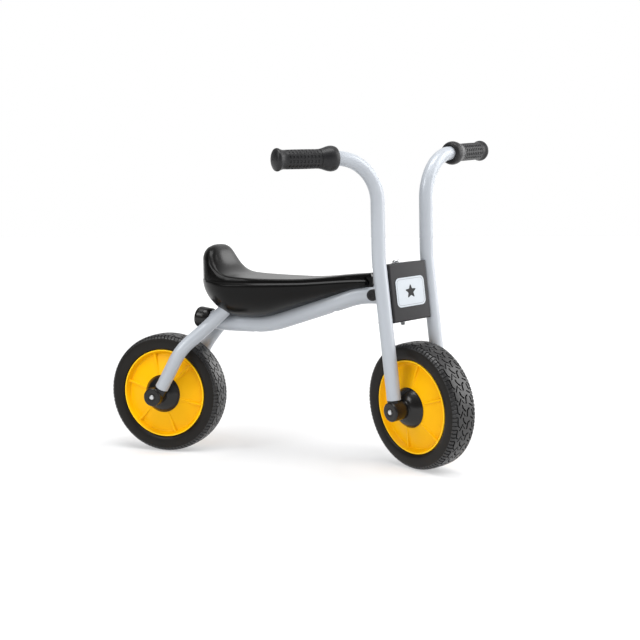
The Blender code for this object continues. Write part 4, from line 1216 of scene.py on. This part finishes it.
# ---------------------------------------------------------------- floor, light and camera
def build_stage():
    """A wide white floor; its slight glow keeps the shadows soft and light."""
    half = 14.0
    bm = bmesh.new()
    bm.faces.new([bm.verts.new((x * half, y * half, 0)) for x, y in ((-1, -1), (1, -1), (1, 1), (-1, 1))])
    mat, tree, shader, vector = node_material("floor_white", (0.54, 0.54, 0.54), 0.8, specular=0.1)
    slow = noise(tree, vector, 0.8, 2.0)
    white = ramp(tree, slow, (0.2, (0.535, 0.535, 0.54)), (0.8, (0.55, 0.55, 0.55)))
    tree.links.new(white, shader.inputs["Base Color"])
    shader.inputs["Emission Color"].default_value = (1, 1, 1, 1)
    away = add_node(tree, "VectorMath", {0: vector}, operation="LENGTH").outputs["Value"]
    glow = remap(tree, away, 0.23, 0.70, 0.6, 2.5)
    # painted light: extra glow round each tyre's contact lightens the shade under it
    for centre in (REAR_CENTRE, FRONT_CENTRE):
        foot = {0: vector, 1: (centre.x, centre.y, 0)}
        away = add_node(tree, "VectorMath", foot, operation="DISTANCE").outputs["Value"]
        glow = combine(tree, glow, remap(tree, away, 0.20, 0.0, 0.02, 0.13))
    tree.links.new(glow, shader.inputs["Emission Strength"])
    floor = add_object("floor", bm)
    floor.data.materials.append(mat)


def add_light(kind, name, location, target, strength, **settings):
    data = bpy.data.lights.new(name, kind)
    data.energy = strength
    for key, value in settings.items():
        setattr(data, key, value)
    light = bpy.data.objects.new(name, data)
    bpy.context.scene.collection.objects.link(light)
    light.location = location
    light.rotation_euler = (Vector(target) - Vector(location)).to_track_quat("-Z", "Y").to_euler()
    return light


def sun(name, location, strength, spread_degrees):
    light = add_light("SUN", name, location, (0.2, 0, 0.2), strength, angle=math.radians(spread_degrees))
    light.visible_glossy = False


def softbox(name, location, target, size, radiance):
    """A rectangular light given by its brightness instead of its power."""
    power = radiance * math.pi * size[0] * size[1]
    light = add_light("AREA", name, location, target, power, shape="RECTANGLE", size=size[0], size_y=size[1])
    light.visible_camera = False


def build_world():
    """White to the camera; for light and reflections bright behind, above and to the right, dark elsewhere."""
    world = bpy.data.worlds.new("studio")
    bpy.context.scene.world = world
    world.use_nodes = True
    tree = world.node_tree
    background = tree.nodes["Background"]
    background.inputs["Color"].default_value = (1, 1, 1, 1)
    background.inputs["Strength"].default_value = 1.0
    direction = add_node(tree, "TexCoord").outputs["Generated"]
    axis = add_node(tree, "SeparateXYZ", {"Vector": direction}).outputs
    level = remap(tree, axis["Y"], 0.07, 1.15, -0.05, 0.6)
    level = combine(tree, level, remap(tree, axis["X"], 0.08, 0.80, 0.30, 0.90), "MAXIMUM")
    level = combine(tree, level, remap(tree, axis["Z"], 0.08, 0.80, 0.45, 0.95), "MAXIMUM")
    level = combine(tree, level, remap(tree, axis["X"], 0.35, 1.0, -0.95, -0.30), "MULTIPLY")
    soft = add_node(tree, "Background", {"Strength": level}).outputs["Background"]
    seen = add_node(tree, "LightPath").outputs["Is Camera Ray"]
    mix = add_node(tree, "MixShader", {"Fac": seen, 1: soft, 2: background.outputs["Background"]})
    tree.links.new(mix.outputs["Shader"], tree.nodes["World Output"].inputs["Surface"])


def build_camera():
    """The photo's view, found by fitting the model to the photo."""
    yaw, pitch, roll = (math.radians(a) for a in (-18.805, -6.456, -0.589))
    forward = Vector((math.sin(yaw) * math.cos(pitch), math.cos(yaw) * math.cos(pitch), math.sin(pitch)))
    flat_right = Vector((math.cos(yaw), -math.sin(yaw), 0))
    flat_up = flat_right.cross(forward)
    right = flat_right * math.cos(roll) + flat_up * math.sin(roll)
    up = flat_up * math.cos(roll) - flat_right * math.sin(roll)
    data = bpy.data.cameras.new("camera")
    data.sensor_width = 36
    data.lens = 57.167
    data.shift_x, data.shift_y = -0.01073, 0.01152
    data.clip_start, data.clip_end = 0.05, 60
    camera = bpy.data.objects.new("camera", data)
    bpy.context.scene.collection.objects.link(camera)
    camera.matrix_world = axes_matrix((0.8252, -1.5680, 0.4090), right, up, -forward)
    bpy.context.scene.camera = camera


build_stage()
build_world()
build_camera()
sun("front_sun", (1.1, -1.15, 2.5), 1.25, 34)
sun("low_fill", (-0.4, -2.0, 0.6), 0.95, 40)
softbox("left_box", (-1.0, -1.7, 1.45), (0.3, 0, 0.2), (0.75, 1.0), 7.0)
softbox("right_box", (2.3, 0.65, 1.15), (0.4, 0, 0.15), (1.4, 2.1), 3.7)
softbox("top_box", (0.35, -0.35, 2.5), (0.25, 0, 0.25), (1.7, 0.9), 6.3)
softbox("back_box", (1.25, 2.2, 0.8), (0.2, 0, 0.2), (1.2, 1.0), 3.0)
bpy.context.scene.view_settings.view_transform = "Standard"
